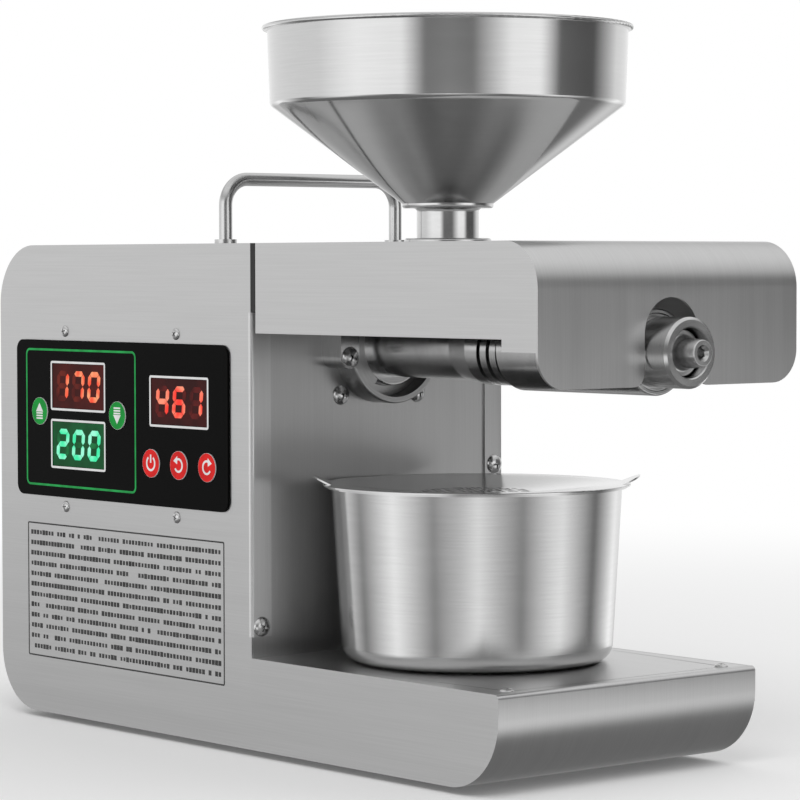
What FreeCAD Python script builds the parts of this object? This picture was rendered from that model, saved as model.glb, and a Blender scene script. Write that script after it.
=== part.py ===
# Screw oil press: a table-top machine that presses oil out of nuts and seeds.
#
# Machine coordinates: x runs across the machine with the control panel at -x, "reach" runs forward
# from the front face of the cabinet, and "height" runs up from the underside of the housing.
# In the row frame +Z is up, the press nozzle points towards -Y, and the origin lies on the ground
# under the middle of the whole part.  All sizes are millimetres.
import FreeCAD, Part
import math
import os

# ---- clearances ---------------------------------------------------------------------------------
SLIDE_GAP = 0.3            # between pieces that lift or slide apart
FIT_GAP = 0.1              # round a fixed piece in its pocket
RUNNING_GAP = 0.05         # radial, a shaft in its bush
GEAR_GAP = 2.0             # round a gear inside the gearbox

# ---- housing sheet metal ------------------------------------------------------------------------
HOUSING_WIDTH = 146.0
HOUSING_HEIGHT = 220.0
CABINET_LENGTH = 197.0
SHEET = 1.2
CABINET_CORNER = 28.0
FLANGE_WIDTH = 11.0
FLANGE_FOOT = 49.0
FLANGE_HEAD = HOUSING_HEIGHT - 30.0
WALL_THICKNESS = 2.0
VENT_COUNT = 9
VENT_PITCH = 7.0
VENT_WIDTH = 3.0
VENT_SPAN = 64.0
VENT_MIDDLE = HOUSING_HEIGHT / 2.0 + 10.0

BASE_LENGTH = 161.0
BASE_HEIGHT = 40.0
BASE_NOSE = 30.0
BASE_LIP = 3.4
LEDGE_WIDTH = 16.0

FOOT_HEIGHT = 3.0
FOOT_RADIUS = 9.0
FOOT_STEM = 3.4
FOOT_SPACING = 84.0
FRONT_FOOT_INSET = 61.0
REAR_FOOT_INSET = 37.0

# ---- press axis ---------------------------------------------------------------------------------
AXIS_HEIGHT = HOUSING_HEIGHT - 45.0
BARREL_BORE = 11.0
BARREL_REAR_RADIUS = 14.2
BARREL_FRONT_RADIUS = 16.0
COLLAR_RADIUS = 18.1
COLLAR_END = 9.0
FLARE_START = 63.0
FLARE_END = 75.0
BARREL_END = 176.0
BARREL_START = 1.1
JACKET_LENGTH = 79.0
JACKET_RADIUS = 17.8
SLOT_COUNT = 3
SLOT_SETBACK = 13.0
SLOT_PITCH = 6.0
SLOT_WIDTH = 2.2
SLOT_TILT = 7.0
SLOT_BRIDGE = 70.0
FEED_REACH = 46.0
FEED_BOSS_RADIUS = 16.6
FEED_BOSS_FOOT = AXIS_HEIGHT + 7.0
FEED_BOSS_GAP = 7.8
FEED_PORT_RADIUS = 9.5

NUT_THREAD_RADIUS = 12.5
NUT_THREAD_LENGTH = 16.0
NUT_RADIUS = 14.5
NUT_LENGTH = 19.3
NUT_CHAMFER = 1.1
NUT_BORE = 10.2
NUT_FLARE = 10.0

SCREW_RADIUS = 10.7
SCREW_COLLAR_START = 8.3
SCREW_FLIGHT_START = 14.0
SCREW_FLIGHT_END = BARREL_END - 10.0
SCREW_PITCH = 19.0
SCREW_ROOT_FEED = 6.0
SCREW_ROOT_PRESS = 8.7
FLIGHT_THICKNESS = 4.0
SCREW_NOSE_RADIUS = 9.5
SCREW_NOSE_START = BARREL_END + 7.0
SCREW_NOSE_END = BARREL_END + 14.5
STUB_FOOT_RADIUS = 6.6
STUB_TIP_RADIUS = 5.4
STUB_TIP = BARREL_END + 26.0
STUB_SOCKET = 4.4
STUB_SOCKET_DEPTH = 7.0
TAIL_FLATS = 13.0
TAIL_LENGTH = 19.0

# ---- seat on the front wall ---------------------------------------------------------------------
SEAT_RADIUS = 26.0
SEAT_FRONT = 11.0
SEAT_SPIGOT = 20.0
SEAT_WEB = 3.0
RELIEF_RADIUS = 23.2
RELIEF_HALF_ANGLE = 52.0
RELIEF_TURN = 16.0
POST_OFFSET = 27.3
POST_WIDTH = 10.4
POST_FRONT = 12.0
POST_FOOT = AXIS_HEIGHT - 10.0
POST_SCREW_HEIGHT = AXIS_HEIGHT - 4.6
WALL_SCREW_SPOTS = ((-22.0, -22.0), (22.0, -22.0), (15.0, 27.3), (-15.0, 27.3))
HEATER_OUTER = 18.6
HEATER_INNER = 13.4
HEATER_THICKNESS = 2.6
PROBE_RADIUS = 1.6
PROBE_LENGTH = 12.0

# ---- gear train: teeth and modules, from the output gear back to the motor ----------------------
PRESSURE_ANGLE = 25.0
ADDENDUM = 0.8
DEDENDUM = 1.05
BACKLASH = 0.12
OUTPUT_TEETH, THIRD_PINION_TEETH, THIRD_MODULE = 40, 12, 1.75
SECOND_TEETH, SECOND_PINION_TEETH, SECOND_MODULE = 46, 14, 1.25
FIRST_TEETH, MOTOR_PINION_TEETH, FIRST_MODULE = 54, 12, 1.0
THIRD_LEAN = -55.0         # direction from the output shaft down to the second gear shaft
SECOND_LEAN = -154.5       # direction from there to the first gear shaft
FIRST_LEAN = -76.0         # direction from there down to the motor
THIRD_FACE, SECOND_FACE, FIRST_FACE = 14.0, 10.0, 8.0
PLANE_GAP = 3.0
CASE_PLATE = 5.0
CASE_WALL = 3.5
CASE_EAR = 6.0
CASE_EAR_ANGLES = {"output": (47.0, 133.0), "first": (210.0,), "second": (-38.0,)}
BEARING_RADIUS = 17.0
BEARING_WIDTH = 8.0
OUTPUT_SHAFT_RADIUS = 10.0
GEAR_SHAFT_RADIUS = 5.0
BUSH_WALL = 2.0
BUSH_LENGTH = 4.0
GEAR_WEB = 4.0

# ---- motor --------------------------------------------------------------------------------------
MOTOR_RADIUS = 35.0
MOTOR_LENGTH = 84.0
MOTOR_WALL = 2.0
BELL_LENGTH = 7.0
MAGNET_THICKNESS = 6.0
MAGNET_SPREAD = 130.0
ROTOR_GAP = 1.0
ROTOR_SLOTS = 12
MOTOR_SHAFT_RADIUS = 4.0
FAN_RADIUS = 31.0
FAN_LENGTH = 9.0
FAN_BLADES = 7
FAN_GAP = 5.0
CRADLE_LENGTH = 40.0
CRADLE_SHEET = 2.0

# ---- hood ---------------------------------------------------------------------------------------
GASKET_DEPTH = 3.2
GASKET_BAND = 8.0
HOOD_END = BARREL_END + 8.2
HOOD_SIDE_FOOT = HOUSING_HEIGHT - 39.0
HOOD_CHEEK_START = HOOD_END - 21.2
HOOD_CHEEK_FOOT = HOUSING_HEIGHT - 44.0
HOOD_FRONT_FOOT = HOUSING_HEIGHT - 58.6
HOOD_NOSE = 19.0
HOOD_CHIN = 14.0
NOTCH_HALF = 15.1
NOTCH_TOP = AXIS_HEIGHT + 22.4
NOTCH_FLARE = 6.0
CHANNEL_FOOT = AXIS_HEIGHT + 17.0

# ---- hopper -------------------------------------------------------------------------------------
HOPPER_SHEET = 0.8
HOPPER_RIM = 80.6
HOPPER_CONE_FOOT = HOUSING_HEIGHT + 17.0
HOPPER_SHOULDER = HOPPER_CONE_FOOT + 42.6
HOPPER_TOP = HOPPER_SHOULDER + 34.4
HOPPER_BAND_TOP = 78.4
HOPPER_BAND_FOOT = 77.2
HOPPER_CONE_RADIUS = 19.9
NECK_RADIUS = 13.5
NECK_DEPTH = 8.0
GUARD_RADIUS = 19.0
GUARD_HEIGHT = 2.0
GUARD_WALL = 1.5
GUARD_DROP = 7.0

# ---- handle -------------------------------------------------------------------------------------
HANDLE_ROD = 3.0
HANDLE_SPAN = 98.8
HANDLE_REACH = -49.0
HANDLE_BAR = HOUSING_HEIGHT + 29.0
HANDLE_BEND = 12.0
HANDLE_TAIL = 8.0
HANDLE_COLLAR = 5.0
HANDLE_COLLAR_HEIGHT = 2.0
HANDLE_NUT = 5.5
HANDLE_NUT_HEIGHT = 4.0

# ---- pot and strainer ---------------------------------------------------------------------------
POT_REACH = 66.5
POT_OFFSET = -1.5
POT_TOP = BASE_HEIGHT + 75.6
POT_RADIUS_TOP = 62.7
POT_RADIUS_FOOT = 58.3
POT_ROUND = 8.0
POT_RIM = 65.0
POT_SHEET = 0.8
STRAINER_RIM = 66.4
STRAINER_SHEET = 0.8
STRAINER_DROP = 3.6
STRAINER_FLOOR = 26.0
STRAINER_SEAT = 57.5
HOLE_RADIUS = 1.2
HOLE_PITCH = 6.0
EAR_HEADING = -40.0
EAR_WIDTH = 22.0
EAR_REACH = 70.5
EAR_RISE = 3.6

# ---- control panel ------------------------------------------------------------------------------
PANEL_LENGTH = 166.2
PANEL_HEIGHT = 73.2
PANEL_DROP = 81.0
PANEL_CORNER = 5.0
PANEL_PROUD = 1.0
PANEL_PLUG_INSET = 3.0
PANEL_PLUG = 3.0
WINDOW_LENGTH = 42.0
WINDOW_HEIGHT = 20.6
WINDOW_PLACES = {"current": (-32.3, 15.4), "setting": (-32.3, -11.7), "countdown": (46.9, 10.6)}
DISPLAY_DEPTH = 10.0
DISPLAY_RECESS = 0.3
KEY_RADIUS = 6.4
KEY_FLANGE = 7.4
KEY_FLANGE_THICKNESS = 1.0
KEY_PLACES = {
    "key_warmer": (-63.6, 3.1),
    "key_cooler": (-0.3, 3.1),
    "key_power": (25.9, -17.5),
    "key_press_stop": (47.0, -17.5),
    "key_clear": (68.1, -17.5),
}
KEY_TRAVEL = 0.6
BOARD_THICKNESS = 1.6
BOARD_MARGIN = 6.0
SWITCH_SIZE = 6.0
TRANSFORMER = (32.0, 27.0, 13.0)
RELAY = (20.0, 16.0, 10.0)
CAPACITOR_RADIUS = 5.0
CAPACITOR_LENGTH = 12.0
PANEL_SCREW_SPREAD = 87.6
PANEL_SCREW_MARGIN = 4.3

# ---- power inlet --------------------------------------------------------------------------------
INLET_HEIGHT = 32.0
INLET_FLANGE = (50.0, 28.0)
INLET_FLANGE_THICKNESS = 2.0
INLET_BODY = (28.0, 21.0)
INLET_SOCKET = (24.4, 16.6)
INLET_SOCKET_DEPTH = 16.0
INLET_DEPTH = 24.0
INLET_PIN = (2.0, 4.0)
INLET_PIN_SPOTS = ((-7.0, -2.6), (7.0, -2.6), (0.0, 3.0))

# ---- fasteners: head radius, head height, shank radius, shank length ----------------------------
WALL_SCREW = (3.8, 2.4, 2.0, 6.5)
FLANGE_SCREW = (3.75, 2.3, 2.0, 7.0)
POST_SCREW = (3.7, 2.0, 2.0, 15.0)
PANEL_SCREW = (2.3, 1.3, 1.5, 6.0)
TRAY_SCREW = (2.6, 1.2, 1.5, 5.0)
FLANGE_SCREW_SPOTS = ((-1.0, 4.4), (1.0, 4.4), (1.0, 69.8))
FLANGE_SCREW_INSET = 5.5
TRAY_SCREW_INSET = 12.0
TRAY_SCREW_SETBACK = 8.4

# ---- sizes worked out from the above ------------------------------------------------------------
SEAM_Y = (STUB_TIP - CABINET_LENGTH - INLET_FLANGE_THICKNESS) / 2.0
HALF_WIDTH = HOUSING_WIDTH / 2.0
INNER_HALF = HALF_WIDTH - SHEET
CEILING = HOUSING_HEIGHT - SHEET
WALL_FRONT = -SHEET
WALL_BACK = WALL_FRONT - WALL_THICKNESS
HOOD_START = GASKET_DEPTH + SLIDE_GAP
POST_HEAD = CEILING - FIT_GAP - GASKET_BAND - SLIDE_GAP
NUT_FRONT = BARREL_END + NUT_LENGTH
JACKET_START = BARREL_END - JACKET_LENGTH
FEED_BOSS_HEAD = CEILING - GUARD_DROP - FEED_BOSS_GAP
FOOT_REACHES = (BASE_LENGTH - FRONT_FOOT_INSET, REAR_FOOT_INSET - CABINET_LENGTH)
PROBE_FOOT = AXIS_HEIGHT + COLLAR_RADIUS + 2.0
PROBE_REACH = (WALL_FRONT + SEAT_FRONT) / 2.0
NECK_BORE = NECK_RADIUS + SLIDE_GAP
NECK_FOOT = FEED_BOSS_HEAD - NECK_DEPTH
PANEL_MIDDLE = (-CABINET_LENGTH / 2.0, HOUSING_HEIGHT - PANEL_DROP)
PANEL_REAR = PANEL_MIDDLE[0] - PANEL_LENGTH / 2.0
PANEL_FRONT = PANEL_MIDDLE[0] + PANEL_LENGTH / 2.0
PANEL_FOOT = PANEL_MIDDLE[1] - PANEL_HEIGHT / 2.0
PANEL_HEAD = PANEL_MIDDLE[1] + PANEL_HEIGHT / 2.0
PANEL_FACE = -HALF_WIDTH - PANEL_PROUD
PANEL_BACK = -HALF_WIDTH + PANEL_PLUG
BOARD_FACE = PANEL_FACE + DISPLAY_RECESS + DISPLAY_DEPTH
THIRD_PLANE = WALL_BACK - CASE_PLATE - BEARING_WIDTH
SECOND_PLANE = THIRD_PLANE - THIRD_FACE - PLANE_GAP
FIRST_PLANE = SECOND_PLANE - SECOND_FACE - PLANE_GAP
COVER_FRONT = FIRST_PLANE - FIRST_FACE - PLANE_GAP
COVER_BACK = COVER_FRONT - CASE_PLATE
MOTOR_BACK = COVER_BACK - MOTOR_LENGTH
CASE_BOLT = (3.5, 3.5, 2.0, WALL_BACK - COVER_BACK - 3.0)


def at(x, reach, height):
    """Point in the row frame for a place in machine coordinates."""
    return FreeCAD.Vector(x, SEAM_Y - reach, FOOT_HEIGHT + height)


def block(x_span, reach_span, height_span):
    """Box between two opposite corners given as spans in machine coordinates."""
    low = at(min(x_span), max(reach_span), min(height_span))
    size_x = abs(x_span[1] - x_span[0])
    size_y = abs(reach_span[1] - reach_span[0])
    size_z = abs(height_span[1] - height_span[0])
    return Part.makeBox(size_x, size_y, size_z, low)


def rod(radius, start, end):
    """Cylinder of the given radius between two points."""
    axis = end.sub(start)
    return Part.makeCylinder(radius, axis.Length, start, axis)


def across(radius, x_start, x_end, reach, height):
    """Cylinder along x."""
    return rod(radius, at(x_start, reach, height), at(x_end, reach, height))


def along(radius, reach_start, reach_end, x=0.0, height=AXIS_HEIGHT):
    """Cylinder along the press axis direction."""
    return rod(radius, at(x, reach_start, height), at(x, reach_end, height))


def upright(radius, low, high, x=0.0, reach=0.0):
    """Vertical cylinder."""
    return rod(radius, at(x, reach, low), at(x, reach, high))


def side_plane(x):
    """Map (reach, height) pairs onto the plane at this x."""
    return lambda reach, height: at(x, reach, height)


def front_plane(reach):
    """Map (x, height) pairs onto the plane at this reach."""
    return lambda x, height: at(x, reach, height)


def floor_plane(height):
    """Map (x, reach) pairs onto the plane at this height."""
    return lambda x, reach: at(x, reach, height)


def turn_plane(x, reach):
    """Map (radius, height) pairs onto the half plane through a vertical axis."""
    return lambda radius, height: at(x + radius, reach, height)


def axis_plane(x, height):
    """Map (reach, radius) pairs onto the half plane through an axis along the machine."""
    return lambda reach, radius: at(x, reach, height + radius)


def outline(corners, place):
    """Closed face from (u, v, corner radius) corners, with round corners as true arcs."""
    edges = []
    last_end = None
    first_start = None
    count = len(corners)
    for index, (u, v, radius) in enumerate(corners):
        here = FreeCAD.Vector(u, v, 0)
        back = FreeCAD.Vector(*corners[index - 1][:2], 0).sub(here).normalize()
        ahead = FreeCAD.Vector(*corners[(index + 1) % count][:2], 0).sub(here).normalize()
        if radius > 0:
            half = back.getAngle(ahead) / 2.0
            cut = radius / math.tan(half)
            middle = back.add(ahead).normalize().multiply(radius / math.sin(half) - radius)
            start = here.add(FreeCAD.Vector(back).multiply(cut))
            end = here.add(FreeCAD.Vector(ahead).multiply(cut))
            points = [place(p.x, p.y) for p in (start, here.add(middle), end)]
        else:
            points = [place(u, v)]
        if last_end is not None and last_end.distanceToPoint(points[0]) > 1e-6:
            edges.append(Part.LineSegment(last_end, points[0]).toShape())
        if radius > 0:
            edges.append(Part.Arc(*points).toShape())
        first_start = first_start or points[0]
        last_end = points[-1]
    if last_end.distanceToPoint(first_start) > 1e-6:
        edges.append(Part.LineSegment(last_end, first_start).toShape())
    return Part.Face(Part.Wire(edges))


def slab(corners, x_span):
    """Side outline in (reach, height) given a thickness across the machine."""
    face = outline(corners, side_plane(x_span[0]))
    return face.extrude(FreeCAD.Vector(x_span[1] - x_span[0], 0, 0))


def plate(corners, reach_span):
    """Front outline in (x, height) given a thickness along the machine."""
    face = outline(corners, front_plane(reach_span[0]))
    return face.extrude(FreeCAD.Vector(0, reach_span[0] - reach_span[1], 0))


def column(corners, height_span):
    """Plan outline in (x, reach) given a height."""
    face = outline(corners, floor_plane(height_span[0]))
    return face.extrude(FreeCAD.Vector(0, 0, height_span[1] - height_span[0]))


def spun(corners, x, reach):
    """Outline in (radius, height) spun about a vertical axis."""
    face = outline(corners, turn_plane(x, reach))
    return face.revolve(at(x, reach, 0), FreeCAD.Vector(0, 0, 1), 360)


def turned(corners, x=0.0, height=AXIS_HEIGHT):
    """Outline in (reach, radius) turned about an axis along the machine."""
    face = outline(corners, axis_plane(x, height))
    return face.revolve(at(x, 0, height), FreeCAD.Vector(0, 1, 0), 360)


def square(points):
    """Give plain (u, v) points as sharp corners."""
    return [(u, v, 0) for u, v in points]


def rectangle(u_span, v_span, radius=0.0):
    """Corners of a rectangle with equal corner radii."""
    return [(u, v, radius) for u, v in ((u_span[0], v_span[0]), (u_span[1], v_span[0]),
                                        (u_span[1], v_span[1]), (u_span[0], v_span[1]))]


def hexagon(flats, x, height):
    """Corners of a hexagon across the given flats, in the front plane."""
    radius = flats / math.sqrt(3.0)
    angles = [math.radians(30.0 + 60.0 * step) for step in range(6)]
    return [(x + radius * math.cos(a), height + radius * math.sin(a), 0) for a in angles]


def cut_all(shape, cutters):
    """Cut every cutter from a shape."""
    return shape.cut(cutters[0].multiFuse(cutters[1:]) if len(cutters) > 1 else cutters[0])


def pan_screw(sizes, seat, outward):
    """Pan-head screw whose head sits on the seat point and faces outward."""
    head_radius, head_height, shank_radius, length = sizes
    crown = head_height * 0.8
    corners = [(0, -length, 0), (shank_radius, -length, 0), (shank_radius, 0, 0),
               (head_radius, 0, 0), (head_radius, head_height, crown), (0, head_height, 0)]
    face = outline(corners, lambda radius, rise: FreeCAD.Vector(radius, 0, rise))
    screw = face.revolve(FreeCAD.Vector(0, 0, 0), FreeCAD.Vector(0, 0, 1), 360)
    screw.Placement = FreeCAD.Placement(seat, FreeCAD.Rotation(FreeCAD.Vector(0, 0, 1), outward))
    return screw


def screw_hole(sizes, seat, outward):
    """Clearance hole for the shank of a pan_screw."""
    depth = FreeCAD.Vector(outward).multiply(sizes[3] + FIT_GAP)
    start = seat.sub(depth)
    return rod(sizes[2] + FIT_GAP, start, seat.add(FreeCAD.Vector(outward)))


FORWARD = FreeCAD.Vector(0, -1, 0)
REARWARD = FreeCAD.Vector(0, 1, 0)
UPWARD = FreeCAD.Vector(0, 0, 1)
LEFTWARD = FreeCAD.Vector(-1, 0, 0)


# ---- places shared by several pieces ------------------------------------------------------------
def polar(centre, distance, degrees):
    """Point at a distance and direction from an (x, height) centre."""
    angle = math.radians(degrees)
    return (centre[0] + distance * math.cos(angle), centre[1] + distance * math.sin(angle))


def mesh_distance(module, teeth_a, teeth_b):
    """Centre distance of two meshed gears."""
    return module * (teeth_a + teeth_b) / 2.0


OUTPUT_AXIS = (0.0, AXIS_HEIGHT)
SECOND_AXIS = polar(OUTPUT_AXIS, mesh_distance(THIRD_MODULE, OUTPUT_TEETH, THIRD_PINION_TEETH),
                    THIRD_LEAN)
FIRST_AXIS = polar(SECOND_AXIS, mesh_distance(SECOND_MODULE, SECOND_TEETH, SECOND_PINION_TEETH),
                   SECOND_LEAN)
MOTOR_AXIS = polar(FIRST_AXIS, mesh_distance(FIRST_MODULE, FIRST_TEETH, MOTOR_PINION_TEETH),
                   FIRST_LEAN)


def tip_radius(teeth, module):
    """Outer radius of a gear."""
    return module * (teeth / 2.0 + ADDENDUM)


LOBES = {
    "output": (OUTPUT_AXIS, tip_radius(OUTPUT_TEETH, THIRD_MODULE)),
    "first": (FIRST_AXIS, tip_radius(FIRST_TEETH, FIRST_MODULE)),
    "motor": (MOTOR_AXIS, tip_radius(MOTOR_PINION_TEETH, FIRST_MODULE)),
    "second": (SECOND_AXIS, tip_radius(SECOND_TEETH, SECOND_MODULE)),
}


def case_bolt_centres():
    """Centres of the long bolts that hold the gearbox together."""
    centres = []
    for name, angles in CASE_EAR_ANGLES.items():
        centre, radius = LOBES[name]
        reach_out = radius + GEAR_GAP + CASE_WALL + CASE_EAR / 3.0
        centres.extend(polar(centre, reach_out, angle) for angle in angles)
    return centres


def wall_screw_seats():
    """Head seats of the four screws round the barrel seat."""
    return [at(dx, WALL_FRONT, AXIS_HEIGHT + dz) for dx, dz in WALL_SCREW_SPOTS]


def flange_screw_seats():
    """Head seats of the screws through the side panel flanges."""
    return [at(side * (HALF_WIDTH - FLANGE_SCREW_INSET), 0, FLANGE_FOOT + rise)
            for side, rise in FLANGE_SCREW_SPOTS]


def post_screw_seats():
    """Head seats of the screws that hold the guide posts."""
    return [at(side * POST_OFFSET, POST_FRONT, POST_SCREW_HEIGHT) for side in (-1, 1)]


def panel_screw_seats():
    """Head seats of the screws above and below the control panel."""
    heights = (PANEL_FOOT - PANEL_SCREW_MARGIN, PANEL_HEAD + PANEL_SCREW_MARGIN)
    return [at(-HALF_WIDTH, PANEL_MIDDLE[0] + side * PANEL_SCREW_SPREAD / 2.0, height)
            for side in (-1, 1) for height in heights]


def tray_screw_seats():
    """Head seats of the screws that hold the tray plate."""
    return [at(side * (HALF_WIDTH - TRAY_SCREW_INSET), BASE_LENGTH - TRAY_SCREW_SETBACK, BASE_HEIGHT)
            for side in (-1, 1)]


def foot_places():
    """(x, reach) of the four feet."""
    return [(side * FOOT_SPACING / 2.0, reach) for reach in FOOT_REACHES for side in (-1, 1)]


def foot_holes(reach):
    """Holes for the pair of foot stems at one reach."""
    return [upright(FOOT_STEM + FIT_GAP, -1, SHEET + 1, side * FOOT_SPACING / 2.0, reach)
            for side in (-1, 1)]


# ---- cabinet ------------------------------------------------------------------------------------
def cabinet_outline(inset):
    """Side outline of the cabinet, or of its inside when inset by the sheet."""
    front = 0.0 if inset == 0 else 1.0
    radius = CABINET_CORNER - inset
    return [(front, inset, 0), (front, HOUSING_HEIGHT - inset, 0),
            (-CABINET_LENGTH + inset, HOUSING_HEIGHT - inset, radius),
            (-CABINET_LENGTH + inset, inset, radius)]


def side_panel(side):
    """Flat side of the cabinet with its folded front flange."""
    outer = side * HALF_WIDTH
    inner = side * INNER_HALF
    edge = side * (HALF_WIDTH - FLANGE_WIDTH)
    panel = slab(cabinet_outline(0), (outer, inner))
    fold_zone = block((outer - side, outer + 2 * side), (-3 * SHEET, 1), (FLANGE_FOOT, FLANGE_HEAD))
    fold_zone = fold_zone.fuse(block((outer, inner), (-3 * SHEET, 1), (FLANGE_FOOT, FLANGE_HEAD)))
    fold = [(outer, -3 * SHEET, 0), (outer, 0, 1.5 * SHEET), (edge, 0, 0), (edge, -SHEET, 0),
            (inner, -SHEET, SLIDE_GAP), (inner, -3 * SHEET, 0)]
    panel = panel.cut(fold_zone).fuse(column(fold, (FLANGE_FOOT, FLANGE_HEAD)))
    holes = [screw_hole(FLANGE_SCREW, seat, FORWARD) for seat in flange_screw_seats()]
    if side < 0:
        holes += [screw_hole(PANEL_SCREW, seat, LEFTWARD) for seat in panel_screw_seats()]
        holes.append(slab(panel_plug_corners(FIT_GAP), (outer - 1, inner + 1)))
    return cut_all(panel, holes).removeSplitter()


def wrap_sheet():
    """Top, back and bottom of the cabinet, bent from one sheet."""
    span = (-INNER_HALF, INNER_HALF)
    sheet = slab(cabinet_outline(0), span).cut(slab(cabinet_outline(SHEET), span))
    rear = (-CABINET_LENGTH - 1, -CABINET_LENGTH + SHEET + 1)
    first = VENT_MIDDLE - VENT_PITCH * (VENT_COUNT - 1) / 2.0
    cutters = []
    for index in range(VENT_COUNT):
        low = first + index * VENT_PITCH
        cutters.append(plate(rectangle((-VENT_SPAN / 2.0, VENT_SPAN / 2.0),
                                       (low - VENT_WIDTH / 2.0, low + VENT_WIDTH / 2.0),
                                       VENT_WIDTH / 2.01), rear))
    cutters.append(plate(inlet_rectangle(INLET_BODY, FIT_GAP), rear))
    cutters += [upright(HANDLE_ROD + FIT_GAP, CEILING - 1, HOUSING_HEIGHT + 1, x, HANDLE_REACH)
                for x in (-HANDLE_SPAN / 2.0, HANDLE_SPAN / 2.0)]
    cutters += foot_holes(FOOT_REACHES[1])
    return cut_all(sheet, cutters)


def front_wall():
    """Plate behind the flanges that carries the seat outside and the gearbox inside."""
    half = INNER_HALF - SLIDE_GAP
    wall = block((-half, half), (WALL_BACK, WALL_FRONT), (SHEET, CEILING))
    holes = [along(SEAT_SPIGOT + FIT_GAP, WALL_BACK - 1, WALL_FRONT + 1)]
    holes += [screw_hole(WALL_SCREW, seat, FORWARD) for seat in wall_screw_seats()]
    holes += [screw_hole(FLANGE_SCREW, seat, FORWARD) for seat in flange_screw_seats()]
    holes += [screw_hole(POST_SCREW, seat, FORWARD) for seat in post_screw_seats()]
    return cut_all(wall, holes)


def rubber_feet():
    """Four feet, each with a stem and a snap head above its sheet."""
    head = SHEET + FIT_GAP
    corners = square([(0, -FOOT_HEIGHT), (FOOT_RADIUS - 1, -FOOT_HEIGHT), (FOOT_RADIUS, 0),
                      (FOOT_STEM, 0), (FOOT_STEM, head), (FOOT_STEM + 1, head),
                      (FOOT_STEM - 1, head + 2), (0, head + 2)])
    return [spun(corners, x, reach) for x, reach in foot_places()]


# ---- base and tray ------------------------------------------------------------------------------
def base_shell():
    """Low box in front of the cabinet: bottom and front in one bent sheet, with closed sides."""
    body = slab([(0, 0, 0), (BASE_LENGTH, 0, BASE_NOSE), (BASE_LENGTH, BASE_HEIGHT, 2.0),
                 (0, BASE_HEIGHT, 0)], (-HALF_WIDTH, HALF_WIDTH))
    under_tray = BASE_HEIGHT - SHEET
    span = (-INNER_HALF, INNER_HALF)
    hollow = slab([(SHEET, SHEET, 0), (BASE_LENGTH - SHEET, SHEET, BASE_NOSE - SHEET),
                   (BASE_LENGTH - SHEET, under_tray, 0), (SHEET, under_tray, 0)], span)
    seat = block(span, (-1, BASE_LENGTH - BASE_LIP), (under_tray, BASE_HEIGHT + 1))
    shell = body.cut(hollow.fuse(seat))
    for side in (-1, 1):
        ledge = block((side * INNER_HALF, side * (INNER_HALF - LEDGE_WIDTH)),
                      (SHEET, BASE_LENGTH - BASE_LIP - 1), (under_tray - SHEET, under_tray))
        shell = shell.fuse(ledge)
    holes = foot_holes(FOOT_REACHES[0])
    holes += [screw_hole(TRAY_SCREW, seat_point, UPWARD) for seat_point in tray_screw_seats()]
    return cut_all(shell, holes).removeSplitter()


def tray_plate():
    """Flat plate on the base where the pot stands."""
    half = INNER_HALF - FIT_GAP
    tray = block((-half, half), (WALL_FRONT, BASE_LENGTH - BASE_LIP - FIT_GAP),
                 (BASE_HEIGHT - SHEET, BASE_HEIGHT))
    return cut_all(tray, [screw_hole(TRAY_SCREW, seat, UPWARD) for seat in tray_screw_seats()])


# ---- seat and guide posts -----------------------------------------------------------------------
def post_outline(gap):
    """Front outline of a guide post, widened by a gap."""
    half = POST_WIDTH / 2.0 + gap
    foot = POST_FOOT - gap
    return [(-half, foot, half * 0.99), (half, foot, half * 0.99), (half, POST_HEAD, 0),
            (-half, POST_HEAD, 0)]


def shifted(corners, dx):
    """Move corners sideways."""
    return [(u + dx, v, radius) for u, v, radius in corners]


def guide_posts():
    """Two posts that the hood's channels slide down over."""
    posts = []
    for side, seat in zip((-1, 1), post_screw_seats()):
        post = plate(shifted(post_outline(0), side * POST_OFFSET), (WALL_FRONT, POST_FRONT))
        posts.append(post.cut(screw_hole(POST_SCREW, seat, FORWARD)))
    return posts


def relief_cutter():
    """Crescent pocket below the barrel, where drips fall clear of the seat."""
    ring = along(RELIEF_RADIUS, SEAT_WEB, SEAT_FRONT + 1)
    ring = ring.cut(along(COLLAR_RADIUS, SEAT_WEB - 1, SEAT_FRONT + 2))
    middle = -90.0 + RELIEF_TURN
    wedge = [OUTPUT_AXIS]
    wedge += [polar(OUTPUT_AXIS, 2 * RELIEF_RADIUS, middle + step * RELIEF_HALF_ANGLE)
              for step in (-1, 0, 1)]
    return ring.common(plate(square(wedge), (SEAT_WEB - 1, SEAT_FRONT + 2)))


def barrel_seat():
    """Cast ring on the front wall that holds the rear collar of the barrel."""
    seat = turned([(WALL_BACK, 0, 0), (WALL_FRONT, 0, 0), (SEAT_FRONT, 0, 0),
                   (SEAT_FRONT, SEAT_RADIUS, 1.0), (WALL_FRONT, SEAT_RADIUS, 0),
                   (WALL_FRONT, SEAT_SPIGOT, 0), (WALL_BACK, SEAT_SPIGOT, 0)])
    cutters = [along(COLLAR_RADIUS + SLIDE_GAP, BARREL_START - FIT_GAP, SEAT_FRONT + 1),
               along(OUTPUT_SHAFT_RADIUS + 1, WALL_BACK - 1, SEAT_FRONT),
               relief_cutter()]
    for side in (-1, 1):
        cutters.append(plate(shifted(post_outline(FIT_GAP), side * POST_OFFSET),
                             (WALL_FRONT - 1, SEAT_FRONT + 1)))
    cutters.append(heater_body(FIT_GAP))
    cutters.append(upright(PROBE_RADIUS + FIT_GAP, PROBE_FOOT - FIT_GAP,
                           AXIS_HEIGHT + SEAT_RADIUS + 1, 0, PROBE_REACH))
    return cut_all(seat, cutters)


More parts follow.
